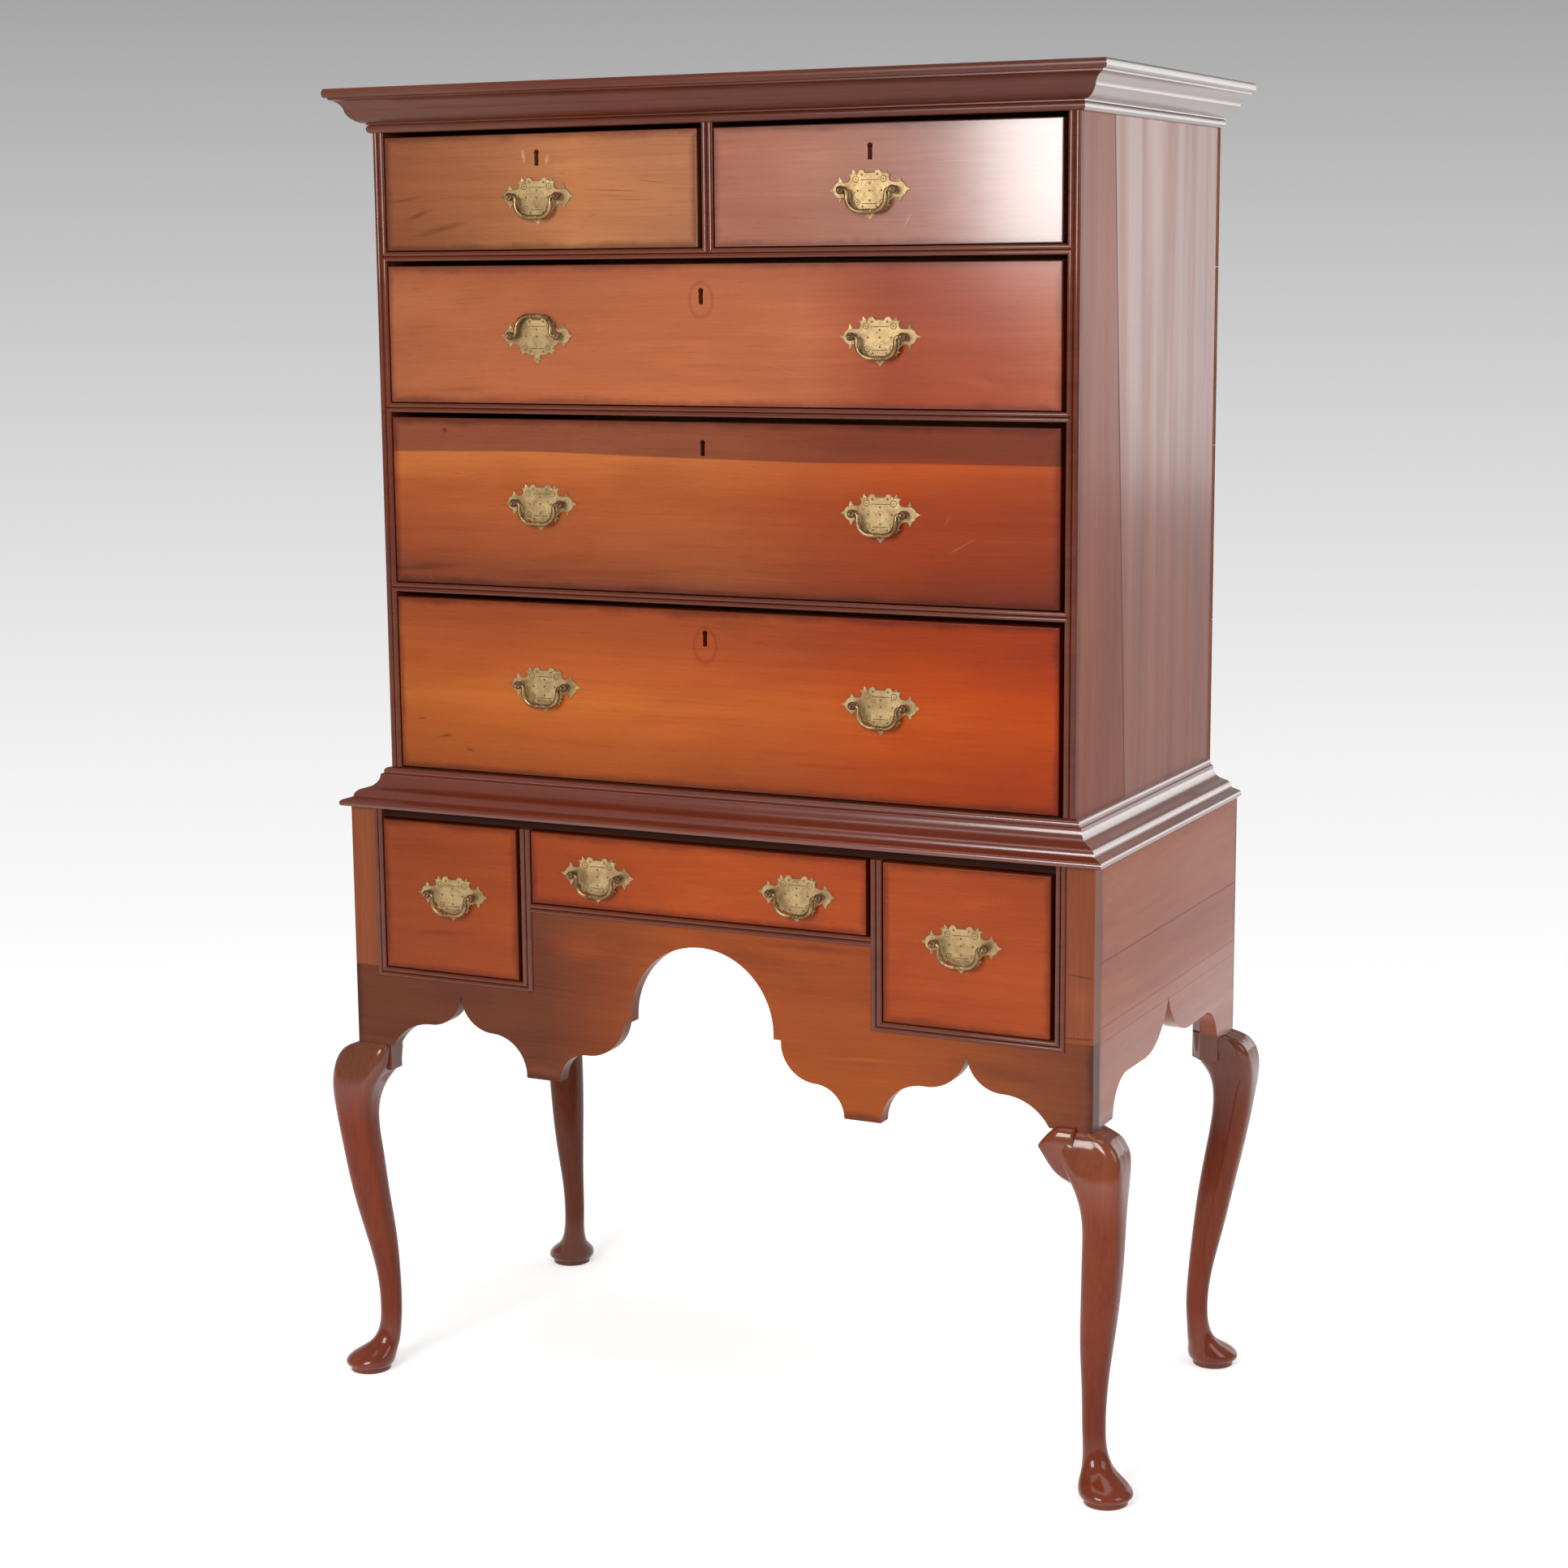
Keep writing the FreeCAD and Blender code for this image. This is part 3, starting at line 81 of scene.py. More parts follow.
class Paint:
    """A material's node tree, with short calls for what the woods and metals share."""

    def __init__(self, name):
        self.material = bpy.data.materials.new(name)
        self.material.use_nodes = True
        self.tree = self.material.node_tree
        self.tree.nodes.clear()
        self.place = self.add("ShaderNodeTexCoord").outputs["Object"]
        self.axes = self.add("ShaderNodeSeparateXYZ", {"Vector": self.place}).outputs
        self.x, self.y, self.z = self.axes

    def add(self, kind, inputs=None, **settings):
        """New node with these settings, and with sockets or values at its inputs."""
        node = self.tree.nodes.new(kind)
        for key, value in settings.items():
            setattr(node, key, value)
        for key, value in (inputs or {}).items():
            if isinstance(value, bpy.types.NodeSocket):
                self.tree.links.new(value, node.inputs[key])
            else:
                node.inputs[key].default_value = value
        return node

    def math(self, operation, a, b=0.0):
        return self.add("ShaderNodeMath", {0: a, 1: b}, operation=operation).outputs[0]

    def total(self, *terms):
        """Sum of the pairs (value, weight)."""
        found = None
        for value, weight in terms:
            part = self.math("MULTIPLY", value, weight)
            found = part if found is None else self.math("ADD", found, part)
        return found

    def apart(self, a, b):
        """How far one value is from another."""
        return self.math("ABSOLUTE", self.math("SUBTRACT", a, b))

    def length(self, u, v):
        """Length of the vector with these two parts."""
        return self.math("SQRT", self.math("ADD", self.math("MULTIPLY", u, u),
                                           self.math("MULTIPLY", v, v)))

    def scaled(self, vector, factors):
        node = self.add("ShaderNodeVectorMath", {0: vector, 1: factors}, operation="MULTIPLY")
        return node.outputs[0]

    def moved(self, vector, step):
        node = self.add("ShaderNodeVectorMath", {0: vector, 1: step}, operation="ADD")
        return node.outputs[0]

    def noise(self, waves, detail=2.0, rough=0.5, bend=0.0, vector=None, seed=0.0):
        """Noise of the place, with so many waves a metre along each axis."""
        place = self.scaled(self.moved(vector or self.place, (seed, 1.7 * seed, -seed)), waves)
        node = self.add("ShaderNodeTexNoise", {"Vector": place, "Scale": 1.0, "Detail": detail,
                                               "Roughness": rough, "Distortion": bend})
        return node.outputs["Fac"]

    def rise(self, value, low, high, start=0.0, end=1.0):
        """Goes smoothly from start at low to end at high."""
        node = self.add("ShaderNodeMapRange", {"Value": value, "From Min": low, "From Max": high,
                                               "To Min": start, "To Max": end},
                        interpolation_type="SMOOTHSTEP")
        return node.outputs["Result"]

    def ramp(self, value, *stops):
        """Colour ramp through the pairs (position, colour)."""
        node = self.add("ShaderNodeValToRGB", {"Fac": value})
        points = node.color_ramp.elements
        while len(points) < len(stops):
            points.new(0.5)
        for point, (position, colour) in zip(points, stops):
            point.position = position
            point.color = (*colour, 1.0)
        return node.outputs["Color"]

    def mix(self, share, first, second, way="MIX"):
        """Blend of two colours, each a socket or a plain colour."""
        node = self.add("ShaderNodeMix", {"Factor": share}, data_type="RGBA", blend_type=way)
        for socket, value in ((node.inputs[6], first), (node.inputs[7], second)):
            if isinstance(value, bpy.types.NodeSocket):
                self.tree.links.new(value, socket)
            else:
                socket.default_value = (*value, 1.0)
        return node.outputs[2]

    def tint(self, share, colour, factors):
        """The colour, multiplied by factors where share is one."""
        return self.mix(share, colour, factors, "MULTIPLY")

    def bump(self, height, distance):
        return self.add("ShaderNodeBump", {"Height": height, "Distance": distance,
                                           "Strength": 1.0}).outputs["Normal"]

    def shader(self, **inputs):
        """Ends the tree with a Principled shader, whose inputs are named with underscores."""
        node = self.add("ShaderNodeBsdfPrincipled",
                        {key.replace("_", " "): value for key, value in inputs.items()})
        out = self.add("ShaderNodeOutputMaterial")
        self.tree.links.new(node.outputs[0], out.inputs[0])
        return self.material


def extent(name):
    """Lowest and highest corner of a CAD node's box."""
    low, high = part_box(name)
    return tuple(low), tuple(high)


# ---------------------------------------------------------------- woods
# Tints, as factors of a wood's colour.
DARK_GRAIN = (0.70, 0.58, 0.55)
LIGHT_GRAIN = (1.22, 1.34, 1.42)
GRIMY = (0.72, 0.62, 0.60)
PORE = (0.45, 0.35, 0.32)
EDGE_DARKENING = (0.34, 0.22, 0.20)
STAIN = (0.42, 0.32, 0.30)
FAINT_SCAR = (1.35, 1.6, 1.9)
PALE_SCAR = (1.6, 3.0, 5.0)
# Boards darken this far in from their edges, and this strongly. Thinner directions have none.
EDGE_REACH = 0.010
EDGE_SHARE = 0.7
THINNEST = 0.05
# The slanting joint of the upper sides: slope and place of the line y = slope * z + place.
UPPER_SEAM = (-0.0733, -0.0007)


def mark(x, z, wide, high, factors, share=1.0, turn=0.0, soft=1.0, ragged=0.0, line="x"):
    """A soft patch, streak or scratch on a board: an ellipse turned so many degrees, tinted.

    line is the axis that x is measured on.
    """
    def add(p, colour):
        across = p.math("SUBTRACT", p.x if line == "x" else p.y, x)
        up = p.math("SUBTRACT", p.z, z)
        c, s = math.cos(math.radians(turn)), math.sin(math.radians(turn))
        u = p.total((across, 2 * c / wide), (up, 2 * s / wide))
        v = p.total((across, -2 * s / high), (up, 2 * c / high))
        far = p.length(u, v)
        if ragged:
            rag = p.noise((45.0, 45.0, 90.0), 3.0, 0.6, seed=x + z)
            far = p.math("ADD", far, p.math("MULTIPLY", p.math("SUBTRACT", rag, 0.5), ragged))
        inside = p.rise(far, 1.0, 1.0 - soft)
        return p.tint(p.math("MULTIPLY", inside, share), colour, factors)
    return add


def ghost(x, z, wide, high):
    """Outline left by a lost keyhole plate."""
    def add(p, colour):
        across = p.math("DIVIDE", p.math("SUBTRACT", p.x, x), wide / 2)
        up = p.math("DIVIDE", p.math("SUBTRACT", p.z, z), high / 2)
        ring = p.rise(p.apart(p.length(across, up), 1.0), 0.22, 0.02)
        return p.tint(p.math("MULTIPLY", ring, 0.6), colour, GRIMY)
    return add


def seam(place, wide, slope=None):
    """A dark joint line across a board, at z = place or, with a slope, y = slope * z + place."""
    def add(p, colour):
        where = p.z if slope is None else p.total((p.y, 1.0), (p.z, -slope))
        share = p.rise(p.apart(where, place), wide, wide * 0.3)
        return p.tint(share, colour, (0.25, 0.20, 0.20))
    return add


def past_mitre(p, name):
    """One on the right-hand return of a moulding, and zero on its front."""
    low, high = extent(name)
    return p.rise(p.total((p.x, 1.0), (p.y, 1.0)), high[0] + low[1] - MM, high[0] + low[1] + MM)


def side_gloss(name, front, side):
    """Coat weight that goes from front to side at a moulding's right-hand mitre."""
    def weight(p):
        return p.math("ADD", front, p.math("MULTIPLY", past_mitre(p, name), side - front))
    return weight


def side_painted_sheen(name, factors):
    """Painted sheen: a pale tint on a moulding's right-hand return, in place of its reflection."""
    def add(p, colour):
        return p.tint(past_mitre(p, name), colour, factors)
    return add


def leg_gloss(p):
    """Coat of a leg, thickest on its knee and its foot."""
    knee = p.rise(p.z, 0.33, 0.40, 0.32, 0.90)
    foot = p.rise(p.z, 0.10, 0.05, 0.0, 0.75)
    return p.math("MAXIMUM", knee, foot)


def upper_gloss(p):
    """Coat of the upper sides: thin on the narrow front board, worn in streaks, dull low down."""
    slope, place = UPPER_SEAM
    behind = p.total((p.y, 1.0), (p.z, -slope))
    board = p.rise(behind, place - 0.004, place + 0.004, 0.19, 0.80)
    back = p.rise(p.y, 0.04, 0.20, 0.90, 0.70)
    streaks = p.rise(p.noise((1.0, 26.0, 1.1), 2.0, 0.55, seed=40.0), 0.34, 0.66, 0.72, 1.22)
    height = p.rise(p.z, 0.84, 1.32, 0.40, 1.0)
    joint = p.rise(p.apart(behind, place), 0.0008, 0.0030)
    found = board
    for share in (back, streaks, height, joint):
        found = p.math("MULTIPLY", found, share)
    return found


def lower_gloss(p):
    """Coat of the lower sides: stronger near the bottom edge and towards the back."""
    streaks = p.rise(p.noise((1.0, 1.4, 24.0), 2.0, 0.55, seed=44.0), 0.34, 0.66, 0.80, 1.20)
    level = p.math("ADD", p.rise(p.z, 0.62, 0.50, 0.15, 0.66), p.rise(p.y, -0.2, 0.2, 0.0, 0.14))
    return p.math("MULTIPLY", streaks, level)


def wood(name, base, grain="x", seed=0.0, box=None, bands=(), sweep=(), marks=(), streak=1.0,
         blotch=1.0, gloss=0.34, coat=0.15, swell=0.0005, shine=0.12, coat_rough=0.18,
         coat_index=1.5):
    """An old varnished board of this base colour with its grain along one axis.

    box is the board's (lowest, highest) corner, for darkening at its edges. bands are pairs
    (share of the height, tint) of a tone that changes up the board, and sweep the same from left
    to right. marks are functions that change the colour in turn. streak and blotch are the
    strength of the grain and of the clouds, gloss the mean roughness and swell the depth of the
    surface's waves. coat is the varnish's weight or a function that makes it, coat_index the
    varnish's index of refraction and shine the wood's own specular level.
    """
    p = Paint(name)
    along = "xyz".index(grain)

    def stretched(long, short):
        return tuple(long if i == along else short for i in range(3))

    sway = p.math("SUBTRACT", p.noise(stretched(2.2, 4.0), 1.0, seed=seed + 3.1), 0.5)
    shift = p.add("ShaderNodeCombineXYZ", {i: sway for i in range(3) if i != along}).outputs[0]
    bent = p.moved(p.place, p.scaled(shift, (0.03, 0.03, 0.03)))
    stripes = p.noise(stretched(0.9, 16.0), 2.0, 0.5, 0.2, vector=bent, seed=seed)
    rings = p.noise(stretched(2.4, 70.0), 2.0, 0.5, 0.4, vector=bent, seed=seed + 5)
    fibres = p.noise(stretched(8.0, 380.0), 2.0, 0.6, vector=bent, seed=seed + 9)
    pores = p.noise(stretched(45.0, 1300.0), 1.0, 0.5, vector=bent, seed=seed + 2)
    clouds = p.noise(stretched(3.0, 7.0), 3.0, 0.55, 0.4, seed=seed + 7)
    value = p.total((stripes, 0.40), (rings, 0.28), (fibres, 0.32))
    span = 0.20 / streak
    colour = p.ramp(value, (max(0.0, 0.5 - span), tinted(base, DARK_GRAIN)), (0.5, base),
                    (min(1.0, 0.5 + span), tinted(base, LIGHT_GRAIN)))
    wander = p.math("MULTIPLY", sway, 0.02)
    for stops, axis in ((bands, 2), (sweep, 0)):
        if stops:
            place = p.math("ADD", p.axes[axis], wander)
            level = p.add("ShaderNodeMapRange", {"Value": place, "From Min": box[0][axis],
                                                 "From Max": box[1][axis]}).outputs["Result"]
            # A ramp's colours end at one, so they are halved in it and doubled after it.
            halves = [(at, tinted(factors, (0.5, 0.5, 0.5))) for at, factors in stops]
            colour = p.tint(1.0, colour, p.scaled(p.ramp(level, *halves), (2.0, 2.0, 2.0)))
    cloudy = p.rise(clouds, 0.32, 0.70)
    colour = p.tint(p.math("MULTIPLY", cloudy, 0.5 * blotch), colour, GRIMY)
    specks = p.rise(pores, 0.62, 0.74)
    colour = p.tint(p.math("MULTIPLY", specks, 0.35), colour, PORE)
    # Darker within a ragged reach of the board's edges.
    if box:
        gap = None
        for i, axis in enumerate(p.axes):
            if box[1][i] - box[0][i] < THINNEST:
                continue
            for side in (p.math("SUBTRACT", axis, box[0][i]),
                         p.math("SUBTRACT", box[1][i], axis)):
                gap = side if gap is None else p.math("MINIMUM", gap, side)
        uneven = p.noise((14.0, 14.0, 14.0), 4.0, 0.65, seed=seed + 4)
        reach = p.total((uneven, 1.6 * EDGE_REACH))
        edge_darkening = p.rise(p.math("SUBTRACT", gap, reach), EDGE_REACH * 0.3, -EDGE_REACH * 0.75)
        colour = p.tint(p.math("MULTIPLY", edge_darkening, EDGE_SHARE), colour, EDGE_DARKENING)
    for add in marks:
        colour = add(p, colour)
    rough = p.total((clouds, 0.14), (fibres, 0.10))
    rough = p.math("ADD", rough, gloss - 0.12)
    if callable(coat):
        coat = coat(p)
    waves = p.noise(stretched(3.5, 22.0), 2.0, 0.5, seed=seed + 6)
    relief = p.total((fibres, 0.035), (pores, 0.03), (waves, 1.0))
    return p.shader(Base_Color=colour, Roughness=rough, Normal=p.bump(relief, swell),
                    Coat_Weight=coat, Coat_Roughness=coat_rough, Coat_IOR=coat_index,
                    Specular_IOR_Level=shine)


def paint(material, *names):
    """Gives CAD nodes this material."""
    for name in names:
        slots = NODES[name].data.materials
        slots.clear()
        slots.append(material)


# Colours of the drawer fronts, and what is on each.
FRONTS = {
    "short_left": dict(
        base=tone(182, 112, 64), seed=1.0, coat=0.3,
        sweep=((0.0, (0.56, 0.50, 0.55)), (0.30, (0.75, 0.79, 0.90)), (0.62, (1.06, 1.17, 1.32)),
               (1.0, (0.82, 0.94, 1.25))),
        bands=((0.0, (0.78, 0.76, 0.76)), (0.5, (1.0, 1.0, 1.0)), (1.0, (0.93, 0.93, 1.0))),
        marks=(mark(-0.36, 1.462, 0.10, 0.012, STAIN, 0.6, 12, ragged=0.8),
               mark(-0.395, 1.478, 0.05, 0.008, STAIN, 0.6, 20, ragged=0.8),
               mark(-0.41, 1.497, 0.07, 0.006, STAIN, 0.45, 8, ragged=0.8),
               mark(-0.125, 1.503, 0.13, 0.0016, STAIN, 0.9, -3),
               mark(-0.10, 1.492, 0.09, 0.0014, STAIN, 0.8, -2),
               mark(-0.07, 1.512, 0.07, 0.0014, STAIN, 0.7, -6),
               mark(-0.245, 1.545, 0.007, 0.022, PALE_SCAR, 0.6, 8),
               mark(-0.213, 1.540, 0.006, 0.016, PALE_SCAR, 0.5, -14))),
    "short_right": dict(
        base=tone(160, 92, 71), seed=2.3, coat=1.0, coat_rough=0.13, gloss=0.28, coat_index=1.72,
        sweep=((0.0, (1.0, 1.04, 1.0)), (0.3, (1.04, 1.25, 1.25)), (0.65, (0.84, 1.0, 1.1)),
               (1.0, (0.72, 1.0, 1.1))),
        marks=(mark(0.252, 1.463, 0.030, 0.0020, PALE_SCAR, 0.8, 62),
               mark(0.30, 1.535, 0.11, 0.0012, FAINT_SCAR, 0.9, 1),
               mark(0.33, 1.527, 0.13, 0.0014, FAINT_SCAR, 0.9, 0),
               mark(0.35, 1.517, 0.09, 0.0012, FAINT_SCAR, 0.9, 1),
               mark(0.31, 1.478, 0.05, 0.02, FAINT_SCAR, 0.5, 30, ragged=1.2),
               mark(0.10, 1.47, 0.16, 0.05, (0.92, 0.8, 0.8), 0.5, ragged=0.6))),
    "long_top": dict(
        base=tone(182, 98, 54), seed=4.1, coat=0.6, coat_rough=0.15, coat_index=1.6,
        sweep=((0.0, (0.74, 0.80, 0.90)), (0.45, (0.94, 0.98, 1.0)), (0.64, (0.90, 0.92, 1.0)),
               (0.76, (0.66, 0.36, 0.14)), (0.90, (0.68, 0.38, 0.16)), (1.0, (0.80, 0.64, 0.58))),
        bands=((0.0, (1.0, 0.95, 0.90)), (0.7, (1.0, 1.0, 1.0)), (1.0, (0.88, 0.85, 0.9))),
        marks=(ghost(-0.010, 1.376, 0.030, 0.040),
               mark(0.33, 1.285, 0.09, 0.018, FAINT_SCAR, 0.5, -8, ragged=1.4),
               mark(0.10, 1.295, 0.07, 0.0012, FAINT_SCAR, 0.9, -18),
               mark(-0.34, 1.27, 0.12, 0.012, STAIN, 0.35, 3, ragged=0.8))),
    "long_middle": dict(
        base=tone(164, 78, 36), seed=5.2,
        sweep=((0.0, (0.92, 0.97, 1.05)), (0.5, (0.96, 1.02, 1.02)), (0.78, (0.88, 0.54, 0.22)),
               (1.0, (0.80, 0.48, 0.20))),
        bands=((0.0, (0.50, 0.56, 0.92)), (0.25, (0.84, 0.88, 1.0)), (0.55, (1.0, 1.05, 1.05)),
               (0.765, (1.26, 1.62, 1.6)), (0.792, (1.28, 1.65, 1.6)), (0.800, (0.62, 0.74, 1.25)),
               (1.0, (0.60, 0.72, 1.25))),
        marks=(mark(0.30, 1.213, 0.50, 0.05, (0.78, 0.86, 1.2), 0.9, ragged=0.5),
               mark(-0.40, 1.052, 0.14, 0.014, STAIN, 0.55, 4, ragged=0.9),
               mark(0.03, 1.052, 0.26, 0.026, (1.3, 1.5, 1.6), 0.45, ragged=0.8),
               mark(-0.365, 1.2205, 0.014, 0.011, STAIN, 0.9, ragged=0.5),
               mark(0.318, 1.100, 0.055, 0.0020, PALE_SCAR, 0.9, 28),
               mark(0.300, 1.128, 0.020, 0.0018, PALE_SCAR, 0.7, 60),
               mark(-0.08, 1.125, 0.10, 0.0012, STAIN, 0.6, 2))),
    "long_bottom": dict(
        base=tone(168, 77, 28), seed=6.4,
        sweep=((0.0, (0.92, 1.0, 1.1)), (0.4, (1.0, 1.04, 1.1)), (0.60, (1.04, 1.0, 1.0)),
               (0.78, (1.04, 0.68, 0.14)), (1.0, (1.0, 0.54, 0.04))),
        bands=((0.0, (0.76, 0.80, 0.74)), (0.20, (0.86, 0.90, 0.80)), (0.32, (1.04, 1.15, 1.0)),
               (0.44, (1.18, 1.50, 1.30)), (0.52, (1.12, 1.35, 1.2)), (0.64, (0.98, 1.0, 1.05)),
               (0.85, (0.78, 0.78, 1.0)), (1.0, (0.70, 0.70, 1.0))),
        marks=(ghost(-0.010, 0.972, 0.030, 0.040),
               mark(-0.375, 0.842, 0.030, 0.006, STAIN, 0.8, 10, ragged=0.5),
               mark(-0.34, 0.826, 0.016, 0.005, STAIN, 0.8, -12, ragged=0.5),
               mark(-0.41, 0.862, 0.020, 0.004, STAIN, 0.7, 4, ragged=0.5),
               mark(0.17, 0.838, 0.20, 0.010, (0.70, 0.6, 0.58), 0.6, 1, ragged=0.8))),
    "lower_left": dict(
        base=tone(151, 65, 24), seed=7.5,
        sweep=((0.0, (0.85, 0.90, 0.9)), (1.0, (1.0, 1.0, 0.8))),
        marks=(mark(-0.36, 0.600, 0.12, 0.012, STAIN, 0.4, 5, ragged=0.9),)),
    "lower_centre": dict(
        base=tone(165, 69, 22), seed=8.6,
        sweep=((0.0, (0.80, 0.80, 0.75)), (0.55, (0.97, 0.98, 0.8)), (1.0, (0.88, 0.82, 0.7)))),
    "lower_right": dict(
        base=tone(160, 67, 19), seed=9.7,
        marks=(mark(0.36, 0.70, 0.10, 0.02, FAINT_SCAR, 0.4, 10, ragged=1.2),)),
}
for drawer, facts in FRONTS.items():
    front = f"drawer_{drawer}_front"
    paint(wood(f"wood_{front}", box=extent(front), streak=0.65, blotch=1.2, **facts), front)

# Case.
UPPER_SIDE = tone(148, 73, 42)
LOWER_SIDE = tone(168, 84, 45)
LEG = tone(124, 51, 24)
MOULDING = tone(92, 41, 24)
upper_marks = (seam(UPPER_SEAM[1], 0.0022, slope=UPPER_SEAM[0]),
               mark(-0.235, 1.20, 0.055, 1.4, (0.62, 0.52, 0.50), 0.8, ragged=0.3, line="y"),
               mark(-0.02, 1.15, 0.05, 1.2, (0.70, 0.62, 0.62), 0.7, 2, ragged=0.4, line="y"),
               mark(0.05, 1.48, 0.16, 0.28, (1.25, 1.3, 1.35), 0.4, ragged=0.8, line="y"),
               mark(0.20, 1.10, 0.05, 1.1, (0.8, 0.7, 0.7), 0.7, ragged=0.4, line="y"),
               mark(-0.10, 0.98, 0.12, 0.50, (0.75, 0.65, 0.62), 0.6, ragged=0.6, line="y"))
for name in ("upper_side_left", "upper_side_right"):
    paint(wood(f"wood_{name}", UPPER_SIDE, "z", 12.0, extent(name), marks=upper_marks, streak=0.9,
               coat=upper_gloss, swell=0.0010), name)
lower_marks = (seam(0.638, 0.0014), seam(0.562, 0.0010), seam(0.544, 0.0008))
for name in ("lower_side_left", "lower_side_right"):
    paint(wood(f"wood_{name}", LOWER_SIDE, "y", 13.5, extent(name), marks=lower_marks, streak=0.9,
               coat=lower_gloss, swell=0.0010), name)
paint(wood("wood_skirt", tone(152, 69, 21), "x", 15.0, extent("front_skirt"), streak=0.8,
           sweep=((0.0, (0.38, 0.46, 1.1)), (0.28, (0.42, 0.50, 1.1)), (0.48, (0.98, 1.0, 0.8)),
                  (0.75, (0.95, 0.95, 0.8)), (0.90, (0.66, 0.76, 1.1)), (1.0, (0.44, 0.50, 1.2))),
           marks=(mark(-0.2235, 0.432, 0.07, 0.03, (1.5, 1.8, 1.8), 0.8),
                  mark(0.2095, 0.432, 0.07, 0.016, (0.6, 0.6, 0.8), 0.7),
                  mark(-0.165, 0.600, 0.14, 0.05, (1.5, 1.3, 1.0), 0.8, ragged=0.9),
                  mark(0.150, 0.628, 0.22, 0.014, STAIN, 0.5, ragged=0.9),
                  mark(0.060, 0.610, 0.24, 0.05, (0.78, 0.74, 0.9), 0.8, -14, ragged=0.8),
                  mark(0.205, 0.500, 0.18, 0.012, (1.25, 1.4, 1.3), 0.8, 2, ragged=0.9),
                  mark(-0.350, 0.520, 0.16, 0.06, (0.75, 0.72, 0.9), 0.7, ragged=0.9),
                  mark(-0.230, 0.545, 0.20, 0.002, STAIN, 0.7, -3),
                  mark(0.380, 0.505, 0.18, 0.030, (0.70, 0.68, 0.9), 0.7, -8, ragged=0.9))),
      "front_skirt")
post_marks = (mark(-0.478, 0.546, 0.060, 0.007, STAIN, 0.9, -3, ragged=0.6),
              mark(0.478, 0.600, 0.044, 0.050, (1.25, 1.3, 1.3), 0.6, ragged=0.5),
              mark(0.478, 0.554, 0.060, 0.004, STAIN, 0.9, 2),
              mark(0.478, 0.626, 0.060, 0.004, STAIN, 0.7, -6))
paint(wood("wood_uprights", tone(130, 66, 35), "z", 16.0, marks=post_marks), "front_uprights")
paint(wood("wood_rails", MOULDING, "x", 17.0), "upper_rails")
paint(wood("wood_beads", tone(98, 43, 23), "x", 18.0, gloss=0.24, coat=0.6, coat_rough=0.07),
      "bead_mouldings")
paint(wood("wood_cornice", MOULDING, "x", 19.0, gloss=0.30, streak=0.7,
           coat=side_gloss("cornice", 0.04, 1.0), coat_rough=0.30, coat_index=5.0,
           # Painted reflection: a pale patch on the cornice's left front, and a pale right-hand
           # return.
           marks=(mark(-0.42, 1.60, 0.60, 0.24, (1.2, 1.9, 2.5), 0.9),
                  side_painted_sheen("cornice", (1.45, 2.2, 2.8)))), "cornice")
paint(wood("wood_waist", tone(104, 42, 23), "x", 20.0, gloss=0.30, streak=0.7, swell=0.0002,
           coat=side_gloss("waist_moulding", 0.20, 0.9), coat_rough=0.17, coat_index=3.4,
           # Painted sheen: a pale tint on the waist moulding's right-hand return.
           marks=(side_painted_sheen("waist_moulding", (1.6, 2.3, 3.0)),)),
      "waist_moulding")
LEGS = ("leg_front_left", "leg_front_right", "leg_back_left", "leg_back_right")
for i, name in enumerate(LEGS):
    # Painted shade darkens the back-left leg, and a greyish tint on each knee is a painted
    # highlight.
    leg_painted_shade = (0.66, 0.80, 0.85) if name == "leg_back_left" else (1.0, 1.0, 1.0)
    side = -1 if name.endswith("left") else 1
    knee_painted_highlight = (0.66, 1.25, 1.7) if side < 0 else (0.9, 1.25, 1.35)
    paint(wood(f"wood_{name}", tinted(LEG, leg_painted_shade), "z", 21.0 + i, gloss=0.30, swell=0.0008,
               marks=(mark(side * 0.50, 0.435, 0.26, 0.15, knee_painted_highlight, 0.9),),
               coat=leg_gloss, coat_rough=0.11, shine=0.06), name)

# Soft wood inside and at the back.
PINE = dict(base=tone(166, 122, 84), grain="x", gloss=0.75, coat=0.0, blotch=0.9)
paint(wood("pine", seed=31.0, **PINE), "lower_back", "drawer_supports",
      *(f"drawer_{drawer}_box" for drawer in FRONTS))


def front_edge_stain_and_shade(p, colour):
    """Dark stain on the inner boards' front edges, deepened to painted shade."""
    return p.tint(p.rise(p.y, -0.17, -0.20), colour, (0.08, 0.04, 0.035))


def stained_ends(p, colour):
    """The case's colour on the ends of the boards across its back."""
    end = extent("upper_back")[1][0]
    return p.tint(p.rise(p.math("ABSOLUTE", p.x), end - 2 * MM, end - MM), colour,
                  (0.72, 0.45, 0.45))


# Their front edges get a dark stain deepened into painted shade.
paint(wood("pine_boards", seed=33.0, marks=(front_edge_stain_and_shade,), **PINE),
      "upper_top_and_bottom", "lower_top_board")
paint(wood("pine_back", seed=35.0, marks=(stained_ends,), **PINE), "upper_back")


# ---------------------------------------------------------------- metals
def metal(name, dark, light, patina, rough, shine, seed=0.0):
    """A cast metal with clouds from dark to light and spots of patina."""
    p = Paint(name)
    clouds = p.noise((55.0, 55.0, 55.0), 4.0, 0.6, 0.5, seed=seed)
    spots = p.noise((380.0, 380.0, 380.0), 3.0, 0.6, seed=seed + 2)
    colour = p.ramp(clouds, (0.32, dark), (0.64, light))
    stain = p.math("MULTIPLY", p.rise(spots, 0.50, 0.74), 0.6)
    colour = p.mix(stain, colour, patina)
    uneven = p.math("ADD", p.total((spots, 0.20), (clouds, 0.16)), rough - 0.18)
    normal = p.bump(p.total((spots, 1.0), (clouds, 2.0)), 0.00010)
    return p.shader(Base_Color=colour, Metallic=p.rise(stain, 0.0, 1.0, shine, 0.4 * shine),
                    Roughness=uneven, Normal=normal)


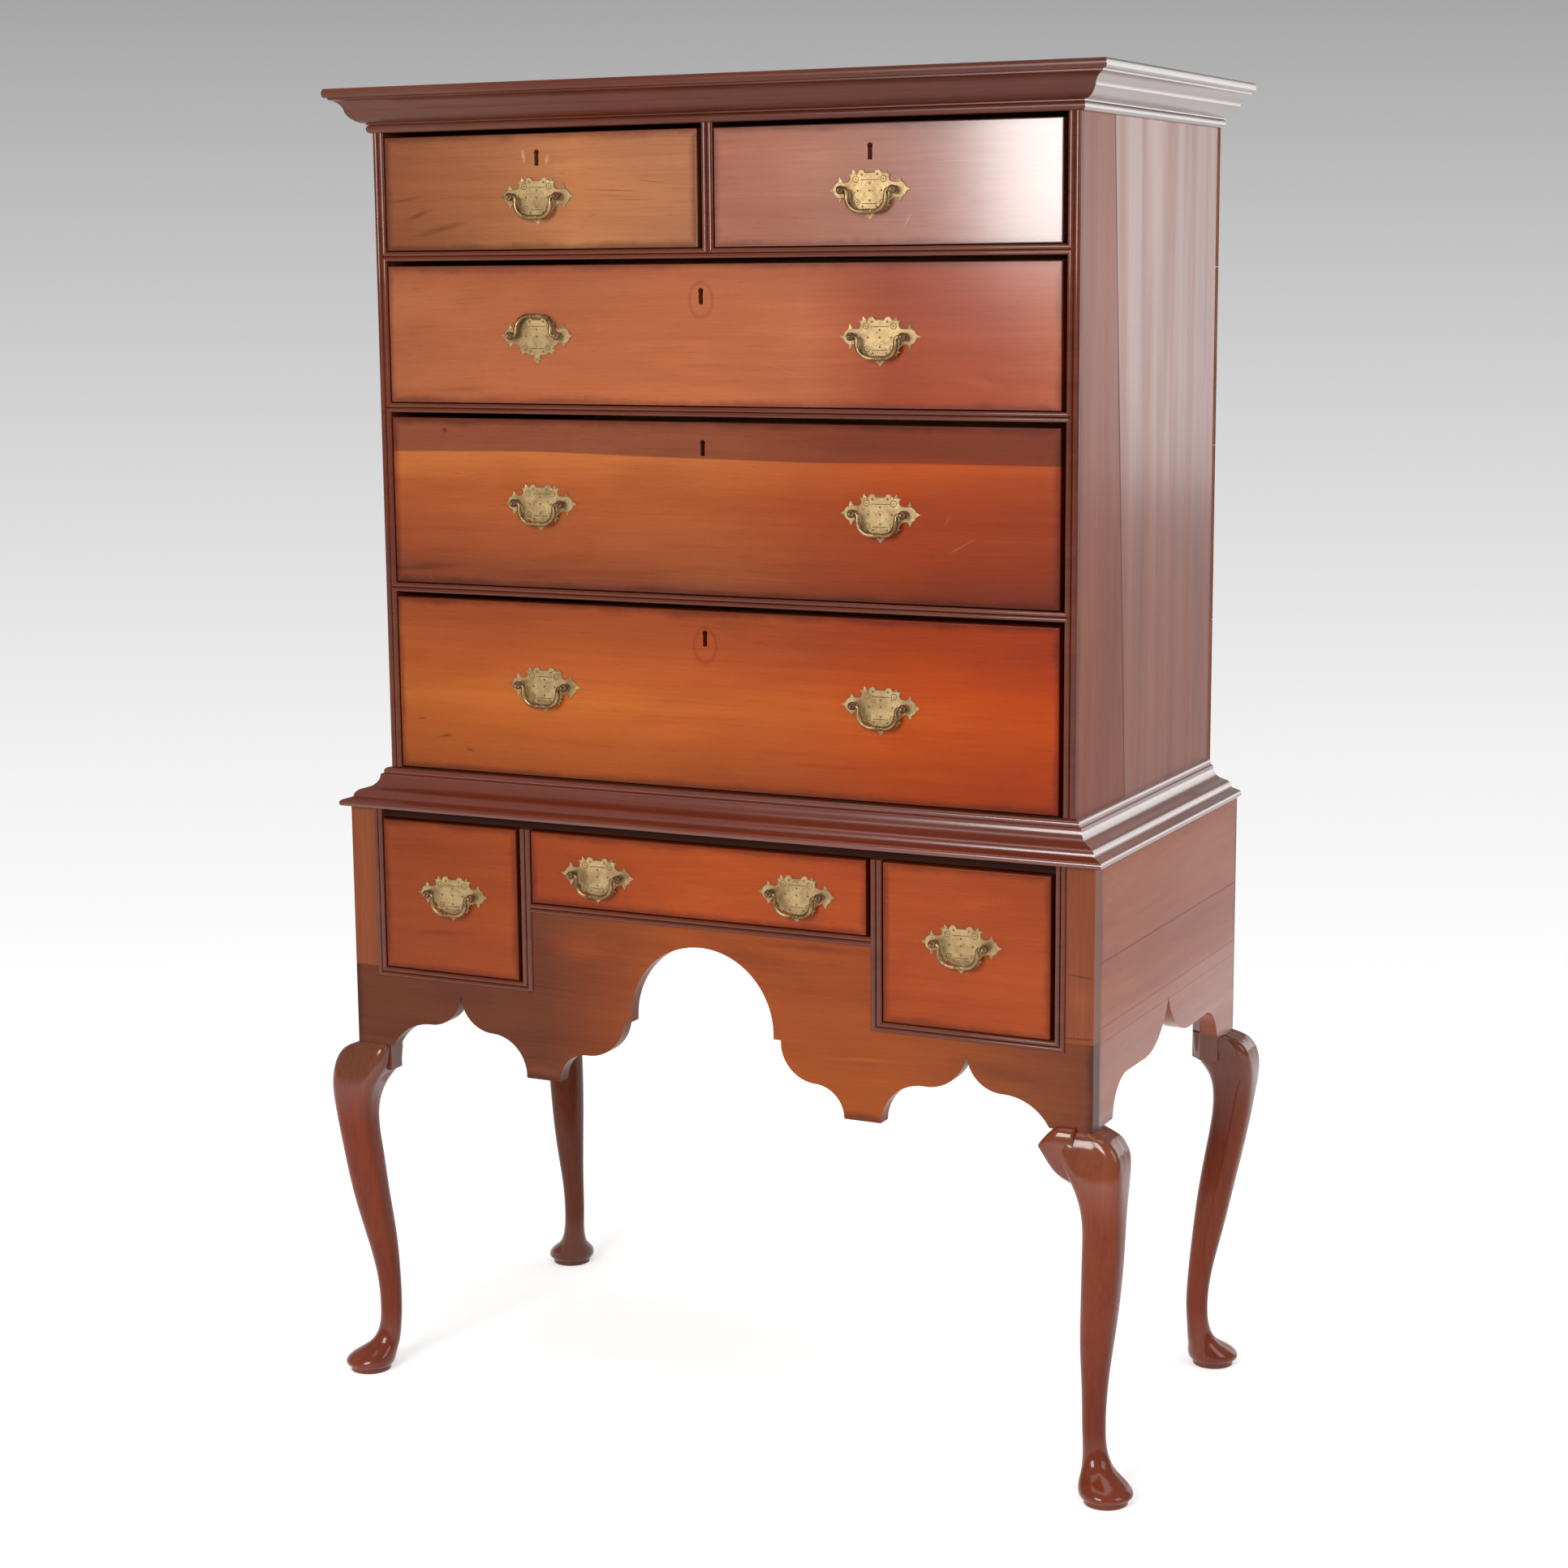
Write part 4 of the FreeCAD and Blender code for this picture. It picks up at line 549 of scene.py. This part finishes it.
BRASS = {
    "plate": metal("brass_plate", tone(144, 117, 76), tone(186, 157, 110), tone(100, 78, 46),
                   0.42, 0.6),
    "rim": metal("brass_rim", tone(120, 92, 58), tone(176, 146, 104), tone(70, 50, 30), 0.45,
                 0.6, 1.0),
    "pit": metal("brass_pit", tone(96, 80, 50), tone(132, 112, 74), tone(62, 48, 28), 0.60, 0.3,
                 2.0),
    "post": metal("brass_post", tone(82, 62, 42), tone(140, 112, 80), tone(48, 34, 22), 0.34,
                  0.85, 3.0),
    "bail": metal("brass_bail", tone(96, 72, 44), tone(156, 126, 84), tone(56, 40, 24), 0.30,
                  0.85, 4.0),
}
iron = metal("iron", tone(52, 49, 47), tone(78, 74, 70), tone(74, 50, 36), 0.55, 0.6, 8.0)
paint(iron, *(f"lock_{drawer}" for drawer in LOCKED))


# ---------------------------------------------------------------- brass pulls
PLATE = 1.5 * MM            # thickness of a backplate
PLATE_REACH = 60 * MM       # more than half a backplate's width
FLATNESS = 0.01 * MM        # how far a point may lie off its plane
PIN_STAND = 11 * MM         # from a drawer's face to the bails' pins
POST_HALF = 32 * MM         # half the distance between a pull's two posts
FRONT_BOARD = 20 * MM       # thickness of a drawer's front board
RAISED = "bail_long_top_left"       # the one bail that is turned up
RAISED_TURN = math.radians(-192)    # its turn from hanging


def plate_outline(node, plane, middle):
    """Longest closed outline, relative to middle, of the node's faces on a plane near middle."""
    mesh = NODES[node].data
    places = [v.co for v in mesh.vertices]
    seen = Counter()
    ways = {}
    for face in mesh.polygons:
        corners = [places[i] for i in face.vertices]
        if any(abs(c.y - plane) > FLATNESS or abs(c.x - middle[0]) > PLATE_REACH
               for c in corners):
            continue
        keys = [(round(c.x - middle[0], 6), round(c.z - middle[1], 6)) for c in corners]
        for a, b in zip(keys, keys[1:] + keys[:1]):
            seen[frozenset((a, b))] += 1
            ways[frozenset((a, b))] = (a, b)
    after = {ways[key][0]: ways[key][1] for key, count in seen.items() if count == 1}
    loops = []
    while after:
        start, here = after.popitem()
        loop = [start]
        while here != start and here in after:
            loop.append(here)
            here = after.pop(here)
        loops.append(loop)
    return sorted(loops, key=len)[-1]


def circle(middle, radius, count=12):
    """Points round a circle."""
    return [(middle[0] + radius * math.cos(2 * math.pi * i / count),
             middle[1] + radius * math.sin(2 * math.pi * i / count)) for i in range(count)]


def mirrored(*rows):
    """The rows, and those off the middle once more on the left."""
    both = []
    for row in rows:
        both.append(row)
        if row[0]:
            both.append((-row[0], *row[1:]))
    return both


# Marks on a backplate, in millimetres from its middle: punched dots (across, up, radius), rings
# with a dot (across, up, radius) and engraved lines (left, right, height).
DOTS = mirrored((0, -1, 1.3), (0, 7.4, 1.3), (0, -12, 1.3), (14.7, -1, 1.3), (9.5, 16.7, 1.4),
                (8.7, -18.7, 1.3), (0, -27.5, 0.8))
RINGS = mirrored((17.0, 11.8, 3.5), (15.5, -13.9, 3.1))
LINES = ((-10.5, 11.5, 11.0), (-10.0, 10.0, -15.2))
DOT_DEPTH = 0.55 * MM
GROOVE_HALF = 0.42 * MM     # half a groove's width
GROOVE_DEPTH = 0.35 * MM
BEVEL = 0.8 * MM            # width of the filed rim
BEVEL_DEPTH = 0.6 * MM
# Order of the materials of a drawer's fixed brass.
PULL_METALS = ("plate", "rim", "pit", "post")
FACE, RIM, PIT, POST = range(4)


def outline_gap(point, loop):
    """Distance from a point to a closed outline."""
    best = math.inf
    for a, b in zip(loop, loop[1:] + loop[:1]):
        run = b - a
        share = max(0.0, min(1.0, (point - a).dot(run) / max(run.length_squared, 1e-14)))
        best = min(best, (point - a - share * run).length)
    return best


def inside(point, loop):
    """Whether a point lies within a closed outline."""
    crossed = False
    for a, b in zip(loop, loop[1:] + loop[:1]):
        if (a.y > point.y) != (b.y > point.y):
            if point.x < a.x + (point.y - a.y) * (b.x - a.x) / (b.y - a.y):
                crossed = not crossed
    return crossed


def plate_features():
    """Closed loops of the marks, in metres, with how far behind the plate's face each lies."""
    loops = []
    for x, z, radius in DOTS:
        loops.append((circle((x * MM, z * MM), radius * MM), 0.0))
        loops.append((circle((x * MM, z * MM), 0.55 * radius * MM, 8), DOT_DEPTH))
    for x, z, radius in RINGS:
        middle = (x * MM, z * MM)
        for far, depth in ((GROOVE_HALF, 0.0), (0.0, GROOVE_DEPTH), (-GROOVE_HALF, 0.0)):
            loops.append((circle(middle, radius * MM + far, 16), depth))
        loops.append((circle(middle, 0.9 * MM, 8), 0.0))
        loops.append((circle(middle, 0.4 * MM, 6), DOT_DEPTH))
    for left, right, height in LINES:
        z = height * MM
        ends = (left * MM, right * MM)
        loops.append(([(ends[0], z - GROOVE_HALF), (ends[1], z - GROOVE_HALF),
                       (ends[1], z + GROOVE_HALF), (ends[0], z + GROOVE_HALF)], 0.0))
        loops.append(([(ends[0] + GROOVE_HALF, z), (ends[1] - GROOVE_HALF, z)], GROOVE_DEPTH))
    return loops


def add_plate(bm, loop, x, z, face_y):
    """A backplate with a filed rim and engraved marks, on the board's face at face_y."""
    rim = [Vector(point) for point in loop]
    points = list(rim)
    edges = [(i, (i + 1) % len(rim)) for i in range(len(rim))]
    depths = [BEVEL_DEPTH] * len(rim)
    for i, point in enumerate(rim):
        run = (rim[(i + 1) % len(rim)] - rim[i - 1]).normalized()
        for side in (1, -1):
            inner = point + side * BEVEL * Vector((-run.y, run.x))
            if BEVEL * 0.9 < outline_gap(inner, rim) and inside(inner, rim):
                points.append(inner)
                depths.append(0.0)
    for shape, depth in plate_features():
        first = len(points)
        points += [Vector(point) for point in shape]
        depths += [depth] * len(shape)
        edges += [(first + i, first + (i + 1) % len(shape)) for i in range(len(shape))]
    found, _, faces, sources, *_ = delaunay_2d_cdt(points, edges, [], 1, 1e-7)
    depth_of = [max((depths[i] for i in origin), default=0.0) for origin in sources]
    verts = [bm.verts.new((x + point.x, face_y - PLATE + depth, z + point.y))
             for point, depth in zip(found, depth_of)]
    for face in faces:
        corners = [verts[i] for i in face]
        deep = [depth_of[i] for i in face]
        made = bm.faces.new(corners)
        first, second, third = (corner.co for corner in corners[:3])
        if (second - first).cross(third - first).y > 0:
            made.normal_flip()
        rimmed = max(deep) == BEVEL_DEPTH
        made.material_index = RIM if rimmed else PIT if max(deep) > 0 else FACE
    back = [bm.verts.new((x + point.x, face_y, z + point.y)) for point in rim]
    front = [verts[next(i for i, origin in enumerate(sources) if k in origin)]
             for k in range(len(rim))]
    for i in range(len(rim)):
        j = (i + 1) % len(rim)
        side = bm.faces.new((front[i], front[j], back[j], back[i]))
        side.material_index = RIM
    bm.faces.new(back)


def add_rings(bm, rings, material, smooth=True):
    """Skins closed rings of points one after another, with a cap at each end."""
    rows = [[bm.verts.new(point) for point in ring] for ring in rings]
    for first, second in zip(rows, rows[1:]):
        for i in range(len(first)):
            j = (i + 1) % len(first)
            face = bm.faces.new((first[i], first[j], second[j], second[i]))
            face.material_index = material
            face.smooth = smooth
    for row in (rows[0], rows[-1]):
        bm.faces.new(row).material_index = material


def post_profile():
    """(radius, stand) from the shank's threaded end behind the board to the tip, in mm."""
    steps = [(1.2, -26.0), (1.9, -25.6)]
    for i in range(8):
        steps += [(2.2, -25.2 + 0.7 * i), (1.9, -24.85 + 0.7 * i)]
    steps += [(2.2, -19.6), (2.2, 1.4), (3.9, 1.5), (4.3, 1.9), (4.3, 2.5), (3.7, 3.0),
              (2.9, 3.6), (2.7, 4.6), (2.9, 5.8), (3.6, 6.6)]
    steps += [(5.0 * math.cos(math.radians(a)), 11 + 5.0 * math.sin(math.radians(a)))
              for a in range(-50, 61, 10)]
    steps += [(2.3, 15.7), (2.6, 16.3), (2.5, 17.2), (1.8, 18.0), (0.6, 18.4)]
    return steps


# A square nut: half its width, its corners as shares of that, and for each of its outlines from
# the board backwards the share of the full width and the distance from the board in mm.
NUT_HALF = 4.84 * MM
NUT_CORNERS = ((1, 0.80), (0.80, 1), (-0.80, 1), (-1, 0.80), (-1, -0.80), (-0.80, -1),
               (0.80, -1), (1, -0.80))
NUT_RINGS = ((0.86, 0.0), (1.0, 0.5), (1.0, 2.5), (0.86, 3.0))


def add_post(bm, x, z, face_y):
    """A turned post through the drawer's front, with a chamfered square nut behind it."""
    rings = []
    for radius, stand in post_profile():
        rings.append([(x + a, face_y - stand * MM, z + b)
                      for a, b in circle((0, 0), radius * MM, 20)])
    add_rings(bm, rings, POST)
    rings = []
    for share, back in NUT_RINGS:
        rings.append([(x + a * share * NUT_HALF, face_y + FRONT_BOARD + back * MM,
                       z + b * share * NUT_HALF) for a, b in NUT_CORNERS])
    add_rings(bm, rings, POST, smooth=False)


# A bail, in mm.
BAIL_HALF = 24.0            # half its width
BAIL_DROP = 24.0            # from the pins down to its rod
BAIL_BEND = 16.0            # radius of its bends
BAIL_CORNER = 3.2           # radius of the corner at each pin
BAIL_STEP = 0.4             # between the points along its straight middle
PIN_END = 33.0              # from its middle
PIN_RADIUS = 1.6
THICKEST = 32.0             # where its rod is thickest, along it from its middle
BAIL_KNOBS = ((0.0, 1.8, 3.3), (3.2, 0.9, 3.2), (5.0, 0.6, 2.8))  # (along, half length, radius)


def bail_radius(length):
    """Radius of a bail's rod, in mm, this far along it from its middle."""
    if length < THICKEST:
        rod = 2.3 + 0.75 * min(1.0, length / 20)
    else:
        rod = 3.05 - 0.09 * (length - THICKEST)
    return max([rod] + [radius * math.sqrt(max(0.0, 1 - ((length - at) / half) ** 2))
                        for at, half, radius in BAIL_KNOBS])


def bail_path():
    """Points (across, up) of a bail's right half, from its middle to the end of its pin, in mm."""
    straight = BAIL_HALF - BAIL_BEND
    path = [(t * BAIL_STEP, -BAIL_DROP) for t in range(int(straight / BAIL_STEP))]
    path += [(straight + BAIL_BEND * math.sin(math.radians(a)),
              -BAIL_DROP + BAIL_BEND * (1 - math.cos(math.radians(a)))) for a in range(0, 90, 6)]
    path += [(BAIL_HALF, -BAIL_DROP + BAIL_BEND + t)
             for t in range(0, int(BAIL_DROP - BAIL_BEND - BAIL_CORNER), 2)]
    path += [(BAIL_HALF + BAIL_CORNER * (1 - math.cos(math.radians(a))),
              -BAIL_CORNER + BAIL_CORNER * math.sin(math.radians(a))) for a in range(0, 91, 15)]
    path += [(BAIL_HALF + BAIL_CORNER + 1.0, 0.0), (PIN_END, 0.0)]
    return [Vector(point) for point in path]


def bail_mesh(name, x, y, z, turn):
    """A hanging bail: a swelling rod with a knob between rings, and a pin into each post."""
    path = bail_path()
    along = [0.0]
    for a, b in zip(path, path[1:]):
        along.append(along[-1] + (b - a).length)
    pin_start = len(path) - 2
    rings = []
    for sign in (-1, 1):
        rows = []
        for i, point in enumerate(path):
            run = (path[min(i + 1, len(path) - 1)] - path[max(i - 1, 0)]).normalized()
            radius = bail_radius(along[i]) if i < pin_start else PIN_RADIUS
            row = []
            for a, b in circle((0, 0), radius, 14):
                row.append(Vector((sign * (point.x - run.y * a), b, point.y + run.x * a)))
            rows.append(row)
        rings = rows[::-1] if sign < 0 else rings + rows[1:]
    spin = Matrix.Translation((x, y, z)) @ Matrix.Rotation(turn, 4, "X") @ Matrix.Scale(MM, 4)
    bm = bmesh.new()
    add_rings(bm, [[spin @ point for point in row] for row in rings], 0)
    return finish_mesh(bm, name)


def finish_mesh(bm, name):
    """Object in the scene from a bmesh, with its faces turned outwards."""
    bmesh.ops.recalc_face_normals(bm, faces=bm.faces)
    mesh = bpy.data.meshes.new(name)
    bm.to_mesh(mesh)
    bm.free()
    obj = bpy.data.objects.new(name, mesh)
    scene.collection.objects.link(obj)
    return obj


for drawer, pulls in PULLS.items():
    face_y = extent(f"drawer_{drawer}_front")[0][1]
    bm = bmesh.new()
    for x, z, end in pulls:
        loop = plate_outline(f"pulls_{drawer}", face_y - PLATE, (x, z))
        add_plate(bm, loop, x, z, face_y)
        for sign in (-1, 1):
            add_post(bm, x + sign * POST_HALF, z, face_y)
        bail = f"bail_{drawer}{end}"
        piece = bail_mesh(f"cast_{bail}", x, face_y - PIN_STAND, z,
                          RAISED_TURN if bail == RAISED else 0.0)
        piece.data.materials.append(BRASS["bail"])
        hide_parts(bail)
        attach(piece, bail)
    piece = finish_mesh(bm, f"cast_pulls_{drawer}")
    for part in PULL_METALS:
        piece.data.materials.append(BRASS[part])
    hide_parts(f"pulls_{drawer}")
    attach(piece, f"drawer_{drawer}")


# ---------------------------------------------------------------- stage
EYE = Vector((1.5986, -3.2970, 1.4065))
YAW = math.radians(26.07)
FLOOR_CORNERS = ((-12, -10, 0), (12, -10, 0), (12, 12, 0), (-12, 12, 0))
FLOOR_COLOUR = (0.86, 0.86, 0.86, 1.0)
FLOOR_LIFT = 0.50           # glow of the floor towards the camera, near the object
SHADOW_END = (4.6, 6.6)     # where the shadow's floor fades out, in front of the camera
FLOOR_FALL = 5.0            # where the far floor starts to darken, in front of the camera
WALL_AWAY = 8.2             # distance of the wall in front of the camera
WALL_HALF = 9               # half its width
WALL_HIGH = 6
WALL_FOOT = 0.905           # brightness at the wall's foot
WALL_FALL = 0.243           # brightness lost with each metre of height
WALL_LEAST = 0.25           # brightness it keeps
SKY_STRENGTH = 0.38
level_ahead = Vector((-math.sin(YAW), math.cos(YAW), 0))
right = Vector((math.cos(YAW), math.sin(YAW), 0))


def seen_only(p, strength):
    """Emission of this strength towards the camera and in reflections, and none elsewhere."""
    path = p.add("ShaderNodeLightPath").outputs
    seen = p.math("MAXIMUM", path["Is Camera Ray"],
                  p.math("MAXIMUM", path["Is Glossy Ray"], path["Is Transmission Ray"]))
    return p.math("MULTIPLY", seen, strength)


def stage_out(p, shader):
    """Ends a stage material with this shader."""
    out = p.add("ShaderNodeOutputMaterial")
    p.tree.links.new(shader.outputs[0], out.inputs[0])
    return p.material


def floor_material():
    """White floor that takes the object's shadow and fades into the wall's foot."""
    p = Paint("floor_paint")
    away = p.total((p.x, level_ahead.x), (p.y, level_ahead.y))
    away = p.math("SUBTRACT", away, EYE.dot(level_ahead))
    far_tone = p.rise(away, FLOOR_FALL, WALL_AWAY, 1.0, WALL_FOOT)
    matte = p.add("ShaderNodeBsdfDiffuse", {"Color": FLOOR_COLOUR})
    lift = p.add("ShaderNodeEmission", {"Strength": seen_only(p, FLOOR_LIFT)})
    near = p.add("ShaderNodeAddShader", {0: matte.outputs[0], 1: lift.outputs[0]})
    far = p.add("ShaderNodeEmission", {"Strength": far_tone})
    share = p.rise(away, *SHADOW_END)
    return stage_out(p, p.add("ShaderNodeMixShader", {0: share, 1: near.outputs[0],
                                                     2: far.outputs[0]}))


def wall_material():
    """A glowing wall that darkens with height."""
    p = Paint("wall_paint")
    fall = p.math("MULTIPLY", p.z, WALL_FALL)
    strength = p.math("MAXIMUM", p.math("SUBTRACT", WALL_FOOT, fall), WALL_LEAST)
    return stage_out(p, p.add("ShaderNodeEmission", {"Strength": strength}))


def flat(name, corners, material):
    """One flat piece of the stage."""
    mesh = bpy.data.meshes.new(name)
    mesh.from_pydata(corners, [], [tuple(range(len(corners)))])
    mesh.materials.append(material)
    obj = bpy.data.objects.new(name, mesh)
    scene.collection.objects.link(obj)


flat("floor", FLOOR_CORNERS, floor_material())
wall_middle = Vector((EYE.x, EYE.y, 0)) + level_ahead * WALL_AWAY
wall_corners = ((-WALL_HALF, 0), (WALL_HALF, 0), (WALL_HALF, WALL_HIGH), (-WALL_HALF, WALL_HIGH))
flat("backdrop", [tuple(wall_middle + right * across + Vector((0, 0, height)))
                  for across, height in wall_corners], wall_material())

scene.world = bpy.data.worlds.new("world")
scene.world.use_nodes = True
sky = scene.world.node_tree.nodes["Background"].inputs
sky["Color"].default_value = (1.0, 1.0, 1.0, 1.0)
sky["Strength"].default_value = SKY_STRENGTH


def soft_light(name, place, target, wide, high, power):
    """An area light of so many watts that points at the target."""
    light = bpy.data.lights.new(name, "AREA")
    light.shape = "RECTANGLE"
    light.size = wide
    light.size_y = high
    light.energy = power
    obj = bpy.data.objects.new(name, light)
    obj.location = place
    way = Vector(target) - Vector(place)
    obj.rotation_euler = way.to_track_quat("-Z", "Y").to_euler()
    scene.collection.objects.link(obj)


# Each light's place, target, width, height and watts.
soft_light("key_light", (-0.27, -3.7, 2.12), (0.1, 0, 1.2), 1.6, 1.5, 98)
soft_light("right_light", (3.6, -0.6, 2.4), (0, 0, 0.9), 1.8, 1.8, 30)
soft_light("sheen_light", (2.4, 5.6, 2.1), (0.45, 0.1, 1.3), 3.0, 2.8, 42)
soft_light("top_light", (0, 0, 4.2), (0, 0, 0), 3.0, 3.0, 44)

# ---------------------------------------------------------------- camera
PITCH = math.radians(9.787)
ROLL = math.radians(-0.4528)
LENS = 67.72
SENSOR = 36.0
SHIFT = (-0.00111, -0.00165)
ahead = level_ahead * math.cos(PITCH) - Vector((0, 0, math.sin(PITCH)))
up = right.cross(ahead)
side = math.cos(ROLL) * right + math.sin(ROLL) * up
top = -math.sin(ROLL) * right + math.cos(ROLL) * up
camera = bpy.data.cameras.new("camera")
camera.lens = LENS
camera.sensor_width = SENSOR
camera.shift_x, camera.shift_y = SHIFT
camera.clip_end = 50.0
eye = bpy.data.objects.new("camera", camera)
eye.matrix_world = Matrix.Translation(EYE) @ Matrix((side, top, -ahead)).transposed().to_4x4()
scene.collection.objects.link(eye)
scene.camera = eye
scene.view_settings.view_transform = "Standard"
